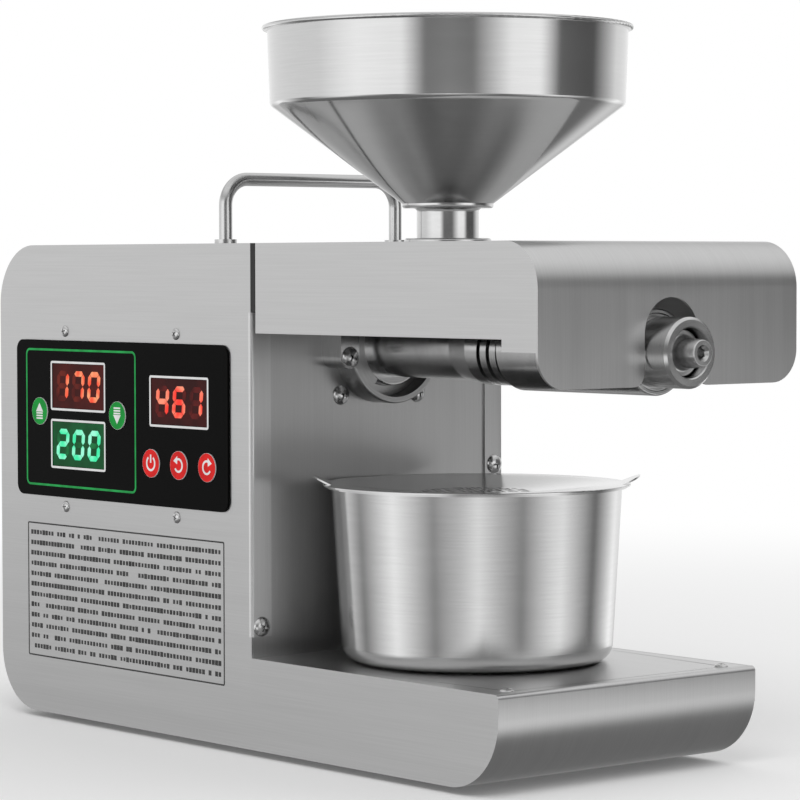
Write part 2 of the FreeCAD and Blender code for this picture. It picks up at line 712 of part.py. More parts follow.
def heater_body(gap):
    """Ring of the heater, grown by a gap."""
    span = (WALL_BACK, WALL_BACK + HEATER_THICKNESS + gap)
    return along(HEATER_OUTER + gap, *span).cut(along(HEATER_INNER - gap, *span))


def heater_ring():
    """Flat ring heater let into the back of the seat, behind the barrel."""
    return heater_body(0)


def temperature_probe():
    """Thermistor probe in the top of the seat."""
    return upright(PROBE_RADIUS, PROBE_FOOT, PROBE_FOOT + PROBE_LENGTH, 0, PROBE_REACH)


# ---- barrel, jacket and outlet nut --------------------------------------------------------------
def oil_slots():
    """Tilted ring cutters for the slots that let the oil out, left shut along the top."""
    cutters = []
    for index in range(SLOT_COUNT):
        reach = JACKET_START - SLOT_SETBACK + index * SLOT_PITCH
        ring = along(BARREL_FRONT_RADIUS * 1.5, reach - SLOT_WIDTH / 2.0, reach + SLOT_WIDTH / 2.0)
        ring = ring.cut(along(BARREL_BORE * 0.7, reach - SLOT_WIDTH, reach + SLOT_WIDTH))
        bridge = [OUTPUT_AXIS]
        bridge += [polar(OUTPUT_AXIS, 4 * BARREL_FRONT_RADIUS, 90.0 + step * SLOT_BRIDGE)
                   for step in (-1, 0, 1)]
        ring = ring.cut(plate(square(bridge), (reach - SLOT_WIDTH, reach + SLOT_WIDTH)))
        ring.rotate(at(0, reach, AXIS_HEIGHT), FreeCAD.Vector(1, 0, 0), SLOT_TILT)
        cutters.append(ring)
    return cutters


def press_barrel():
    """Barrel with rear collar, feed boss, flare, oil slots and a thread bore at the front."""
    thread_start = BARREL_END - NUT_THREAD_LENGTH
    barrel = turned([(BARREL_START, 0, 0), (BARREL_END, 0, 0), (BARREL_END, BARREL_FRONT_RADIUS, 0.6),
                     (FLARE_END, BARREL_FRONT_RADIUS, 6.0), (FLARE_START, BARREL_REAR_RADIUS, 6.0),
                     (COLLAR_END, BARREL_REAR_RADIUS, 0), (COLLAR_END, COLLAR_RADIUS, 0.8),
                     (BARREL_START, COLLAR_RADIUS, 0.4)])
    barrel = barrel.fuse(upright(FEED_BOSS_RADIUS, FEED_BOSS_FOOT, FEED_BOSS_HEAD, 0, FEED_REACH))
    cutters = [along(BARREL_BORE, BARREL_START - 1, thread_start + 1),
               along(NUT_THREAD_RADIUS, thread_start, BARREL_END + 1),
               upright(FEED_PORT_RADIUS, AXIS_HEIGHT, FEED_BOSS_HEAD, 0, FEED_REACH),
               upright(NECK_BORE, NECK_FOOT - SLIDE_GAP, FEED_BOSS_HEAD + 1, 0, FEED_REACH)]
    barrel = cut_all(barrel, cutters)
    return cut_all(barrel, oil_slots()).removeSplitter()


def barrel_jacket():
    """Sleeve pressed over the high-pressure end of the barrel."""
    return turned([(JACKET_START, BARREL_FRONT_RADIUS, 0), (BARREL_END, BARREL_FRONT_RADIUS, 0),
                   (BARREL_END, JACKET_RADIUS, 0.8), (JACKET_START, JACKET_RADIUS, 0.5)])


def outlet_nut():
    """Nut in the end of the barrel; the cake leaves through the ring between it and the screw."""
    start = BARREL_END - NUT_THREAD_LENGTH + FIT_GAP
    thread = NUT_THREAD_RADIUS - FIT_GAP
    return turned([(start, BARREL_BORE, 0), (start, thread, 0), (BARREL_END, thread, 0),
                   (BARREL_END, NUT_RADIUS, 0.5), (NUT_FRONT - NUT_CHAMFER, NUT_RADIUS, 0),
                   (NUT_FRONT, NUT_RADIUS - NUT_CHAMFER, 0), (NUT_FRONT, NUT_BORE + 0.5, 0),
                   (NUT_FRONT - 0.5, NUT_BORE, 0), (start + NUT_FLARE, NUT_BORE, 0)])


# ---- press screw and drive socket ---------------------------------------------------------------
def screw_flight():
    """Helical flight of the press screw, swept as a tapered section along a helix."""
    length = SCREW_FLIGHT_END - SCREW_FLIGHT_START
    inner = SCREW_ROOT_FEED - 1.0
    helix = Part.makeHelix(SCREW_PITCH, length, inner)
    half_foot = FLIGHT_THICKNESS / 2.0 + 0.8
    half_tip = FLIGHT_THICKNESS / 2.0
    points = [(inner, -half_foot), (SCREW_RADIUS, -half_tip), (SCREW_RADIUS, half_tip),
              (inner, half_foot)]
    section = Part.makePolygon([FreeCAD.Vector(r, 0, z) for r, z in points + points[:1]])
    flight = Part.Wire(helix).makePipeShell([section], True, True)
    flight.rotate(FreeCAD.Vector(0, 0, 0), FreeCAD.Vector(1, 0, 0), 90)
    flight.translate(at(0, SCREW_FLIGHT_START, AXIS_HEIGHT))
    return flight


def press_screw():
    """Press screw: hexagon tail, thrust collar, helical flight on a growing root, and nose."""
    tail = plate(hexagon(TAIL_FLATS, 0, AXIS_HEIGHT),
                 (SCREW_COLLAR_START - TAIL_LENGTH, SCREW_COLLAR_START))
    core = turned([(SCREW_COLLAR_START, 0, 0), (STUB_TIP, 0, 0), (STUB_TIP, STUB_TIP_RADIUS, 0.5),
                   (SCREW_NOSE_END, STUB_FOOT_RADIUS, 1.2), (SCREW_NOSE_END, SCREW_NOSE_RADIUS, 0.5),
                   (SCREW_NOSE_START, SCREW_NOSE_RADIUS, 0), (SCREW_FLIGHT_END, SCREW_ROOT_PRESS, 0),
                   (SCREW_FLIGHT_START, SCREW_ROOT_FEED, 0), (SCREW_FLIGHT_START, SCREW_RADIUS, 0),
                   (SCREW_COLLAR_START, SCREW_RADIUS, 0.5)])
    body = core.fuse(screw_flight()).fuse(tail)
    body = body.common(along(SCREW_RADIUS, SCREW_COLLAR_START - TAIL_LENGTH, STUB_TIP))
    socket = plate(hexagon(STUB_SOCKET, 0, AXIS_HEIGHT), (STUB_TIP - STUB_SOCKET_DEPTH, STUB_TIP + 1))
    mouth = turned(square([(STUB_TIP - 1.6, 0), (STUB_TIP + 0.1, 0), (STUB_TIP + 0.1, 3.5),
                           (STUB_TIP - 1.6, STUB_SOCKET / 2.0)]))
    return body.cut(socket.fuse(mouth))


def drive_socket():
    """Output shaft of the gearbox with a hexagon socket for the tail of the press screw."""
    front = SCREW_COLLAR_START - SLIDE_GAP
    shaft = turned([(COVER_BACK + 0.5, 0, 0), (front, 0, 0), (front, OUTPUT_SHAFT_RADIUS, 0.6),
                    (COVER_BACK + 0.5, OUTPUT_SHAFT_RADIUS, 0.6)])
    socket = plate(hexagon(TAIL_FLATS + 2 * FIT_GAP, 0, AXIS_HEIGHT),
                   (SCREW_COLLAR_START - TAIL_LENGTH - FIT_GAP, front + 1))
    return shaft.cut(socket)


# ---- gears --------------------------------------------------------------------------------------
def half_tooth(radius, teeth, module):
    """Half the angle that an involute tooth covers at a radius."""
    pitch_radius = module * teeth / 2.0
    base_radius = pitch_radius * math.cos(math.radians(PRESSURE_ANGLE))
    at_pitch = math.pi / (2.0 * teeth) - BACKLASH / (2.0 * pitch_radius)
    pitch_angle = math.radians(PRESSURE_ANGLE)
    angle = math.acos(min(1.0, base_radius / radius))
    return at_pitch + (math.tan(pitch_angle) - pitch_angle) - (math.tan(angle) - angle)


def toothed_blank(teeth, module, face, front, axis, phase):
    """Spur gear blank; phase is the direction in degrees of one tooth's centre."""
    root = module * (teeth / 2.0 - DEDENDUM)
    radii = (root, module * teeth / 2.0, tip_radius(teeth, module))
    halves = [half_tooth(radius, teeth, module) for radius in radii]
    pitch = 2.0 * math.pi / teeth
    edges = []

    def spot(radius, angle):
        return at(axis[0] + radius * math.cos(angle), front, axis[1] + radius * math.sin(angle))

    for index in range(teeth):
        middle = math.radians(phase) + index * pitch
        rising = [spot(radius, middle - half) for radius, half in zip(radii, halves)]
        falling = [spot(radius, middle + half) for radius, half in zip(radii, halves)][::-1]
        following = spot(root, middle + pitch - halves[0])
        edges.append(Part.Arc(*rising).toShape())
        edges.append(Part.Arc(rising[-1], spot(radii[2], middle), falling[0]).toShape())
        edges.append(Part.Arc(*falling).toShape())
        edges.append(Part.Arc(falling[-1], spot(root, middle + pitch / 2.0), following).toShape())
    return Part.Face(Part.Wire(edges)).extrude(FreeCAD.Vector(0, face, 0))


def meshed_phase(phase, teeth, axis, other_teeth, other_axis):
    """Phase that puts a gap of the other gear on a tooth of this one."""
    line = math.degrees(math.atan2(other_axis[1] - axis[1], other_axis[0] - axis[0]))
    return line + 180.0 + 180.0 / other_teeth - (phase - line) * teeth / other_teeth


def wheel(teeth, module, face, front, axis, phase, bore, hub):
    """Gear wheel with a thinner web between its rim and its hub."""
    blank = toothed_blank(teeth, module, face, front, axis, phase)
    rim = module * (teeth / 2.0 - DEDENDUM) - 3.0 * module
    depth = (face - GEAR_WEB) / 2.0
    for start in (front, front - face + depth):
        ring = along(rim, start - depth, start, *axis).cut(along(hub, start - depth, start, *axis))
        blank = blank.cut(ring)
    return blank.cut(along(bore, front + 1, front - face - 1, *axis))


THIRD_PINION_PHASE = meshed_phase(90.0, OUTPUT_TEETH, OUTPUT_AXIS, THIRD_PINION_TEETH, SECOND_AXIS)
SECOND_PINION_PHASE = meshed_phase(90.0, SECOND_TEETH, SECOND_AXIS, SECOND_PINION_TEETH, FIRST_AXIS)
MOTOR_PINION_PHASE = meshed_phase(90.0, FIRST_TEETH, FIRST_AXIS, MOTOR_PINION_TEETH, MOTOR_AXIS)


def output_gear():
    """Large gear on the output shaft."""
    return wheel(OUTPUT_TEETH, THIRD_MODULE, THIRD_FACE, THIRD_PLANE, OUTPUT_AXIS, 90.0,
                 OUTPUT_SHAFT_RADIUS, OUTPUT_SHAFT_RADIUS + 5.0)


def second_gear():
    """Gear on the shaft that drives the output gear."""
    return wheel(SECOND_TEETH, SECOND_MODULE, SECOND_FACE, SECOND_PLANE, SECOND_AXIS, 90.0,
                 GEAR_SHAFT_RADIUS, GEAR_SHAFT_RADIUS + 4.0)


def first_gear():
    """Gear that the motor pinion drives."""
    return wheel(FIRST_TEETH, FIRST_MODULE, FIRST_FACE, FIRST_PLANE, FIRST_AXIS, 90.0,
                 GEAR_SHAFT_RADIUS, GEAR_SHAFT_RADIUS + 4.0)


def pinion_shaft(teeth, module, face, front, axis, phase):
    """Gear shaft with its pinion cut on it, running in the case bushes."""
    shaft = along(GEAR_SHAFT_RADIUS, COVER_FRONT - BUSH_LENGTH, WALL_BACK - CASE_PLATE + BUSH_LENGTH,
                  *axis)
    return shaft.fuse(toothed_blank(teeth, module, face, front, axis, phase))


def second_shaft():
    """Shaft of the second gear with the third-stage pinion."""
    return pinion_shaft(THIRD_PINION_TEETH, THIRD_MODULE, THIRD_FACE, THIRD_PLANE, SECOND_AXIS,
                        THIRD_PINION_PHASE)


def first_shaft():
    """Shaft of the first gear with the second-stage pinion."""
    return pinion_shaft(SECOND_PINION_TEETH, SECOND_MODULE, SECOND_FACE, SECOND_PLANE, FIRST_AXIS,
                        SECOND_PINION_PHASE)


def motor_pinion():
    """Pinion on the motor shaft."""
    blank = toothed_blank(MOTOR_PINION_TEETH, FIRST_MODULE, FIRST_FACE + 2, FIRST_PLANE + 1,
                          MOTOR_AXIS, MOTOR_PINION_PHASE)
    return blank.cut(along(MOTOR_SHAFT_RADIUS - 1, FIRST_PLANE + 2, FIRST_PLANE - FIRST_FACE - 2,
                           *MOTOR_AXIS))


# ---- gearbox ------------------------------------------------------------------------------------
def belt_face(grow, reach):
    """Face bounded by a belt drawn tight round the four gear lobes, each grown by the same wall."""
    circles = [(centre, radius + grow) for centre, radius in LOBES.values()]
    tangents = []
    for index, (centre, radius) in enumerate(circles):
        following, next_radius = circles[(index + 1) % len(circles)]
        dx = following[0] - centre[0]
        dz = following[1] - centre[1]
        lean = math.atan2(dz, dx) - math.acos((radius - next_radius) / math.hypot(dx, dz))
        angle = math.degrees(lean)
        tangents.append((angle, polar(centre, radius, angle), polar(following, next_radius, angle)))
    place = front_plane(reach)
    edges = []
    for index, (centre, radius) in enumerate(circles):
        arrive_angle, _, arrive = tangents[index - 1]
        leave_angle, leave, landing = tangents[index]
        turn = (leave_angle - arrive_angle) % 360.0
        crown = polar(centre, radius, arrive_angle + turn / 2.0)
        edges.append(Part.Arc(place(*arrive), place(*crown), place(*leave)).toShape())
        edges.append(Part.LineSegment(place(*leave), place(*landing)).toShape())
    return Part.Face(Part.Wire(edges))


def belt_body(grow, reach_span):
    """Belt outline given a thickness along the machine."""
    face = belt_face(grow, reach_span[0])
    return face.extrude(FreeCAD.Vector(0, reach_span[0] - reach_span[1], 0))


def case_ears(reach_span):
    """Round ears that the case bolts pass through."""
    return [along(CASE_EAR, *reach_span, *centre) for centre in case_bolt_centres()]


def case_bolt_holes(reach_span):
    """Clearance holes for the case bolts."""
    return [along(CASE_BOLT[2] + FIT_GAP, *reach_span, *centre) for centre in case_bolt_centres()]


def bush_pockets(reach_span):
    """Pockets for the bushes of the two gear shafts."""
    radius = GEAR_SHAFT_RADIUS + BUSH_WALL
    return [along(radius, *reach_span, *axis) for axis in (FIRST_AXIS, SECOND_AXIS)]


def gearbox_case():
    """Cast case bolted behind the front wall, open at the back."""
    inner_floor = WALL_BACK - CASE_PLATE
    outer = belt_body(GEAR_GAP + CASE_WALL, (WALL_BACK, COVER_FRONT))
    outer = outer.multiFuse(case_ears((WALL_BACK, COVER_FRONT)))
    hollow = belt_body(GEAR_GAP, (inner_floor, COVER_FRONT - 1))
    boss = along(BEARING_RADIUS + CASE_WALL, inner_floor + 1, inner_floor - BEARING_WIDTH + 2)
    case = outer.cut(hollow).fuse(boss.common(belt_body(GEAR_GAP + 1, (WALL_BACK, COVER_FRONT))))
    cutters = [along(BEARING_RADIUS, inner_floor + 1, inner_floor - BEARING_WIDTH),
               along(OUTPUT_SHAFT_RADIUS + 1, WALL_BACK + 1, inner_floor)]
    cutters += bush_pockets((inner_floor - 1, inner_floor + BUSH_LENGTH))
    cutters += case_bolt_holes((WALL_BACK + 1, COVER_FRONT - 1))
    cutters += [screw_hole(WALL_SCREW, seat, FORWARD) for seat in wall_screw_seats()]
    return cut_all(case, cutters)


def gearbox_cover():
    """Rear plate of the gearbox, which also carries the motor."""
    cover = belt_body(GEAR_GAP + CASE_WALL, (COVER_FRONT, COVER_BACK))
    cover = cover.multiFuse(case_ears((COVER_FRONT, COVER_BACK)))
    cutters = bush_pockets((COVER_FRONT + 1, COVER_FRONT - BUSH_LENGTH))
    cutters += case_bolt_holes((COVER_FRONT + 1, COVER_BACK - 1))
    cutters.append(along(OUTPUT_SHAFT_RADIUS + BUSH_WALL, COVER_FRONT + 1, COVER_BACK + 0.4))
    cutters.append(along(tip_radius(MOTOR_PINION_TEETH, FIRST_MODULE) + 1, COVER_FRONT + 1,
                         COVER_BACK - 1, *MOTOR_AXIS))
    return cut_all(cover, cutters)


def gearbox_bolts():
    """Long bolts from the cover through the case."""
    return [pan_screw(CASE_BOLT, at(x, COVER_BACK, height), REARWARD)
            for x, height in case_bolt_centres()]


def bush(radius, wall, reach_span, axis):
    """Plain bush with a running bore."""
    ring = along(radius + wall, *reach_span, *axis)
    return ring.cut(along(radius + RUNNING_GAP, reach_span[0] + 1, reach_span[1] - 1, *axis))


def gear_bushes():
    """Bushes of the first and second gear shafts, at both ends."""
    inner_floor = WALL_BACK - CASE_PLATE
    spans = ((inner_floor + BUSH_LENGTH, inner_floor), (COVER_FRONT, COVER_FRONT - BUSH_LENGTH))
    return [bush(GEAR_SHAFT_RADIUS, BUSH_WALL, span, axis)
            for axis in (FIRST_AXIS, SECOND_AXIS) for span in spans]


def output_bearings():
    """Front bearing and rear bush of the output shaft."""
    inner_floor = WALL_BACK - CASE_PLATE
    front = bush(OUTPUT_SHAFT_RADIUS, BEARING_RADIUS - OUTPUT_SHAFT_RADIUS,
                 (inner_floor, inner_floor - BEARING_WIDTH + FIT_GAP), OUTPUT_AXIS)
    rear = bush(OUTPUT_SHAFT_RADIUS, BUSH_WALL, (COVER_FRONT, COVER_BACK + 0.4), OUTPUT_AXIS)
    return [front, rear]


# ---- motor --------------------------------------------------------------------------------------
def motor_turned(corners):
    """Outline turned about the motor shaft."""
    return turned(square(corners), *MOTOR_AXIS)


def motor_can():
    """Steel can round the magnets."""
    front = COVER_BACK - BELL_LENGTH
    return motor_turned([(front, MOTOR_RADIUS - MOTOR_WALL), (front, MOTOR_RADIUS),
                         (MOTOR_BACK, MOTOR_RADIUS), (MOTOR_BACK, MOTOR_RADIUS - MOTOR_WALL)])


def motor_bell(front, back):
    """End bell of the motor with a bearing bore for the shaft."""
    bore = MOTOR_SHAFT_RADIUS + RUNNING_GAP
    return motor_turned([(front, bore), (front, MOTOR_RADIUS), (back, MOTOR_RADIUS), (back, bore)])


def motor_front_bell():
    """Front end bell, bolted to the gearbox cover."""
    return motor_bell(COVER_BACK, COVER_BACK - BELL_LENGTH)


def motor_rear_bell():
    """Rear end bell."""
    return motor_bell(MOTOR_BACK, MOTOR_BACK - BELL_LENGTH)


def magnet_inner():
    """Inner radius of the magnet shells."""
    return MOTOR_RADIUS - MOTOR_WALL - MAGNET_THICKNESS


def motor_magnets():
    """Two curved magnets bonded inside the can."""
    front = COVER_BACK - BELL_LENGTH - 6.0
    back = MOTOR_BACK + 6.0
    ring = along(MOTOR_RADIUS - MOTOR_WALL, front, back, *MOTOR_AXIS)
    ring = ring.cut(along(magnet_inner(), front + 1, back - 1, *MOTOR_AXIS))
    magnets = []
    for middle in (0.0, 180.0):
        wedge = [MOTOR_AXIS]
        wedge += [polar(MOTOR_AXIS, 3 * MOTOR_RADIUS, middle + step * MAGNET_SPREAD / 2.0)
                  for step in (-1, 0, 1)]
        magnets.append(ring.common(plate(square(wedge), (front + 1, back - 1))))
    return magnets


def rotor_core():
    """Slotted armature core."""
    front = COVER_BACK - BELL_LENGTH - 10.0
    back = MOTOR_BACK + 14.0
    radius = magnet_inner() - ROTOR_GAP
    core = along(radius, front, back, *MOTOR_AXIS)
    slots = []
    for index in range(ROTOR_SLOTS):
        spot = polar(MOTOR_AXIS, radius - 4.0, index * 360.0 / ROTOR_SLOTS)
        slots.append(along(2.6, front + 1, back - 1, *spot))
    slots.append(along(MOTOR_SHAFT_RADIUS, front + 1, back - 1, *MOTOR_AXIS))
    return cut_all(core, slots)


def rotor_shaft():
    """Motor shaft, stepped down at the front for the pinion."""
    back = MOTOR_BACK - BELL_LENGTH - FAN_GAP - FAN_LENGTH
    step = FIRST_PLANE - FIRST_FACE - 1
    return motor_turned([(back, 0), (FIRST_PLANE, 0), (FIRST_PLANE, MOTOR_SHAFT_RADIUS - 1),
                         (step, MOTOR_SHAFT_RADIUS - 1), (step, MOTOR_SHAFT_RADIUS),
                         (back, MOTOR_SHAFT_RADIUS)])


def cooling_fan():
    """Fan on the rear end of the motor shaft."""
    front = MOTOR_BACK - BELL_LENGTH - FAN_GAP
    back = front - FAN_LENGTH
    fan = along(FAN_RADIUS * 0.3, front, back, *MOTOR_AXIS)
    for index in range(FAN_BLADES):
        blade = block((MOTOR_AXIS[0] - 1.0, MOTOR_AXIS[0] + 1.0), (front - 1, back + 1),
                      (MOTOR_AXIS[1] + FAN_RADIUS * 0.2, MOTOR_AXIS[1] + FAN_RADIUS))
        centre = at(MOTOR_AXIS[0], (front + back) / 2.0, MOTOR_AXIS[1])
        blade.rotate(centre, UPWARD, 35.0)
        blade.rotate(centre, REARWARD, index * 360.0 / FAN_BLADES)
        fan = fan.fuse(blade)
    return fan.cut(along(MOTOR_SHAFT_RADIUS, front + 1, back - 1, *MOTOR_AXIS))


def motor_cradle():
    """Bent bracket from the cabinet floor up round the lower half of the motor."""
    middle = (COVER_BACK + MOTOR_BACK) / 2.0
    span = (middle + CRADLE_LENGTH / 2.0, middle - CRADLE_LENGTH / 2.0)
    x, height = MOTOR_AXIS
    half = MOTOR_RADIUS + CRADLE_SHEET
    outer = [(x - half, SHEET, 0), (x + half, SHEET, 0), (x + half, height, 0), (x - half, height, 0)]
    inner = [(x - half + CRADLE_SHEET, SHEET + CRADLE_SHEET, 0),
             (x + half - CRADLE_SHEET, SHEET + CRADLE_SHEET, 0),
             (x + half - CRADLE_SHEET, height + 1, 0), (x - half + CRADLE_SHEET, height + 1, 0)]
    return plate(outer, span).cut(plate(inner, (span[0] + 1, span[1] - 1)))


# ---- hood ---------------------------------------------------------------------------------------
def arch(half, reach_span, head):
    """Inverted U cut from a plate of the housing width, as a band under the hood line."""
    outer = block((-half, half), reach_span, (FLANGE_HEAD, head))
    inner = block((-half + GASKET_BAND, half - GASKET_BAND), (reach_span[0] - 1, reach_span[1] + 1),
                  (FLANGE_HEAD - 1, head - GASKET_BAND))
    return outer.cut(inner)


def hood_gasket():
    """Rubber band between the cabinet and the hood, with a lip inside the cabinet mouth."""
    band = arch(HALF_WIDTH, (0, GASKET_DEPTH), HOUSING_HEIGHT)
    lip = arch(INNER_HALF - FIT_GAP, (WALL_FRONT, 0), CEILING - FIT_GAP)
    return band.fuse(lip).removeSplitter()


def hood_outline(inset):
    """Side outline of the hood, or of its inside when inset by the sheet."""
    back = HOOD_START if inset == 0 else HOOD_START - 1
    front = HOOD_END - inset
    low = HOOD_FRONT_FOOT if inset == 0 else HOOD_FRONT_FOOT - 1
    return [(back, low, 0), (front, low, 0),
            (front, HOUSING_HEIGHT - inset, HOOD_NOSE - inset),
            (back, HOUSING_HEIGHT - inset, 0)]


def notch_cutter():
    """Arched notch in the hood front with flared lower corners."""
    span = (HOOD_END - 2 * SHEET, HOOD_END + 1)
    centre = NOTCH_TOP - NOTCH_HALF
    low = HOOD_FRONT_FOOT
    arch_top = along(NOTCH_HALF, *span, 0, centre)
    slot = plate(square([(-NOTCH_HALF, low - 1), (NOTCH_HALF, low - 1), (NOTCH_HALF, centre),
                         (-NOTCH_HALF, centre)]), span)
    cutter = arch_top.fuse(slot)
    for side in (-1, 1):
        edge = side * NOTCH_HALF
        corner = block((edge, edge + side * NOTCH_FLARE), span, (low - 1, low + NOTCH_FLARE))
        rounder = along(NOTCH_FLARE, span[0] - 1, span[1] + 1, edge + side * NOTCH_FLARE,
                        low + NOTCH_FLARE)
        cutter = cutter.fuse(corner.cut(rounder))
    return cutter


def hood_shell():
    """Lift-off cover over the barrel: top and front in one bent sheet, with closed sides."""
    full = slab(hood_outline(0), (-HALF_WIDTH, HALF_WIDTH))
    hollow = slab(hood_outline(SHEET), (-INNER_HALF, INNER_HALF))
    shell = full.cut(hollow)
    behind_front = HOOD_END - SHEET
    below = (HOOD_FRONT_FOOT - 2, HOOD_SIDE_FOOT)
    full_width = (-HALF_WIDTH - 1, HALF_WIDTH + 1)
    cutters = [block(full_width, (HOOD_START - 1, HOOD_CHEEK_START), below),
               block(full_width, (HOOD_CHEEK_START - 1, behind_front),
                     (HOOD_FRONT_FOOT - 2, HOOD_CHEEK_FOOT)),
               notch_cutter(),
               upright(GUARD_RADIUS - 3 * GUARD_WALL + FIT_GAP, CEILING - 1, HOUSING_HEIGHT + 1, 0,
                       FEED_REACH)]
    for side in (-1, 1):
        edge = side * HALF_WIDTH
        corner = block((edge + side, edge - side * HOOD_CHIN), (behind_front - 1, HOOD_END + 1),
                       (HOOD_FRONT_FOOT - 1, HOOD_FRONT_FOOT + HOOD_CHIN))
        rounder = along(HOOD_CHIN, behind_front - 2, HOOD_END + 2, edge - side * HOOD_CHIN,
                        HOOD_FRONT_FOOT + HOOD_CHIN)
        cutters.append(corner.cut(rounder))
    return cut_all(shell, cutters).removeSplitter()


def hood_channels():
    """Two channels under the hood top that slide down over the guide posts."""
    channels = []
    inner = POST_WIDTH / 2.0 + SLIDE_GAP
    outer = inner + SHEET
    front = POST_FRONT + SLIDE_GAP
    for side in (-1, 1):
        middle = side * POST_OFFSET
        body = block((middle - outer, middle + outer), (HOOD_START, front + SHEET),
                     (CHANNEL_FOOT, CEILING))
        room = block((middle - inner, middle + inner), (HOOD_START - 1, front),
                     (CHANNEL_FOOT - 1, CEILING - SHEET))
        channels.append(body.cut(room))
    return channels


def hopper_guard():
    """Ring in the hood top that guides the neck of the hopper."""
    bore = NECK_RADIUS + SLIDE_GAP
    sleeve = GUARD_RADIUS - 3 * GUARD_WALL
    return spun([(bore, CEILING - GUARD_DROP, 0), (sleeve, CEILING - GUARD_DROP, 0),
                 (sleeve, HOUSING_HEIGHT, 0), (GUARD_RADIUS, HOUSING_HEIGHT, 0),
                 (GUARD_RADIUS, HOUSING_HEIGHT + GUARD_HEIGHT, 1.0),
                 (bore, HOUSING_HEIGHT + GUARD_HEIGHT, 0.5)], 0, FEED_REACH)


# ---- hopper -------------------------------------------------------------------------------------
def feed_hopper():
    """Spun hopper: rolled rim, straight band, cone and neck in one thin wall."""
    wall = HOPPER_SHEET
    lean = math.atan2(HOPPER_SHOULDER - HOPPER_CONE_FOOT, HOPPER_BAND_FOOT - HOPPER_CONE_RADIUS)
    drop = wall / math.cos(lean)
    outside = [(NECK_RADIUS, NECK_FOOT, 0), (NECK_RADIUS, HOPPER_CONE_FOOT - 2.0, 1.5),
               (HOPPER_CONE_RADIUS, HOPPER_CONE_FOOT - 2.0, 1.2),
               (HOPPER_CONE_RADIUS, HOPPER_CONE_FOOT, 0),
               (HOPPER_BAND_FOOT, HOPPER_SHOULDER, 2.5), (HOPPER_BAND_TOP, HOPPER_TOP - 2.0, 0),
               (HOPPER_RIM, HOPPER_TOP - 2.0, 0.9), (HOPPER_RIM, HOPPER_TOP, 0.9)]
    inside = [(HOPPER_BAND_TOP - wall, HOPPER_TOP, 0.6),
              (HOPPER_BAND_FOOT - wall, HOPPER_SHOULDER + drop / 2.0, 2.0),
              (NECK_RADIUS - wall, HOPPER_CONE_FOOT - 2.0 + wall, 1.5),
              (NECK_RADIUS - wall, NECK_FOOT, 0)]
    return spun(outside + inside, 0, FEED_REACH)


# ---- handle -------------------------------------------------------------------------------------
def carry_handle():
    """U-shaped rod handle across the cabinet top."""
    half = HANDLE_SPAN / 2.0
    foot = CEILING - HANDLE_TAIL
    bend = HANDLE_BAR - HANDLE_BEND
    slant = HANDLE_BEND * math.sqrt(0.5)

    def spot(x, height):
        return at(x, HANDLE_REACH, height)

    edges = [Part.LineSegment(spot(-half, foot), spot(-half, bend)).toShape(),
             Part.Arc(spot(-half, bend), spot(-half + HANDLE_BEND - slant, bend + slant),
                      spot(-half + HANDLE_BEND, HANDLE_BAR)).toShape(),
             Part.LineSegment(spot(-half + HANDLE_BEND, HANDLE_BAR),
                              spot(half - HANDLE_BEND, HANDLE_BAR)).toShape(),
             Part.Arc(spot(half - HANDLE_BEND, HANDLE_BAR),
                      spot(half - HANDLE_BEND + slant, bend + slant), spot(half, bend)).toShape(),
             Part.LineSegment(spot(half, bend), spot(half, foot)).toShape()]
    section = Part.Wire(Part.Circle(spot(-half, foot), UPWARD, HANDLE_ROD).toShape())
    handle = Part.Wire(edges).makePipeShell([section], True, True)
    for x in (-half, half):
        handle = handle.fuse(upright(HANDLE_COLLAR, HOUSING_HEIGHT,
                                     HOUSING_HEIGHT + HANDLE_COLLAR_HEIGHT, x, HANDLE_REACH))
    return handle


def handle_nuts():
    """Hexagon nuts that hold the handle legs under the top sheet."""
    nuts = []
    for side in (-1, 1):
        x = side * HANDLE_SPAN / 2.0
        angles = [math.radians(60.0 * step) for step in range(6)]
        corners = [(x + HANDLE_NUT * math.cos(a), HANDLE_REACH + HANDLE_NUT * math.sin(a), 0)
                   for a in angles]
        nut = column(corners, (CEILING - HANDLE_NUT_HEIGHT, CEILING))
        nuts.append(nut.cut(upright(HANDLE_ROD, CEILING - HANDLE_NUT_HEIGHT - 1, CEILING + 1, x,
                                    HANDLE_REACH)))
    return nuts


# ---- pot and strainer ---------------------------------------------------------------------------
def oil_pot():
    """Drawn pot with a slight taper, a rounded foot and a flat rim."""
    wall = POT_SHEET
    return spun([(0, BASE_HEIGHT, 0), (POT_RADIUS_FOOT, BASE_HEIGHT, POT_ROUND),
                 (POT_RADIUS_TOP, POT_TOP - wall, 0), (POT_RIM, POT_TOP - wall, 0),
                 (POT_RIM, POT_TOP, 0), (POT_RADIUS_TOP - wall, POT_TOP, 0.6),
                 (POT_RADIUS_FOOT - wall, BASE_HEIGHT + wall, POT_ROUND - wall),
                 (0, BASE_HEIGHT + wall, 0)], POT_OFFSET, POT_REACH)


def strainer_holes(level):
    """Hexagonal field of drain holes over the floor of the strainer."""
    holes = []
    rows = int(STRAINER_FLOOR / HOLE_PITCH)
    for row in range(-rows, rows + 1):
        for step in range(-2 * rows, 2 * rows + 1):
            dx = (step + row / 2.0) * HOLE_PITCH
            dy = row * HOLE_PITCH * math.sqrt(0.75)
            if math.hypot(dx, dy) < STRAINER_FLOOR - 2 * HOLE_RADIUS:
                holes.append(upright(HOLE_RADIUS, level - 1, level + STRAINER_SHEET + 1,
                                     POT_OFFSET + dx, POT_REACH + dy))
    return holes


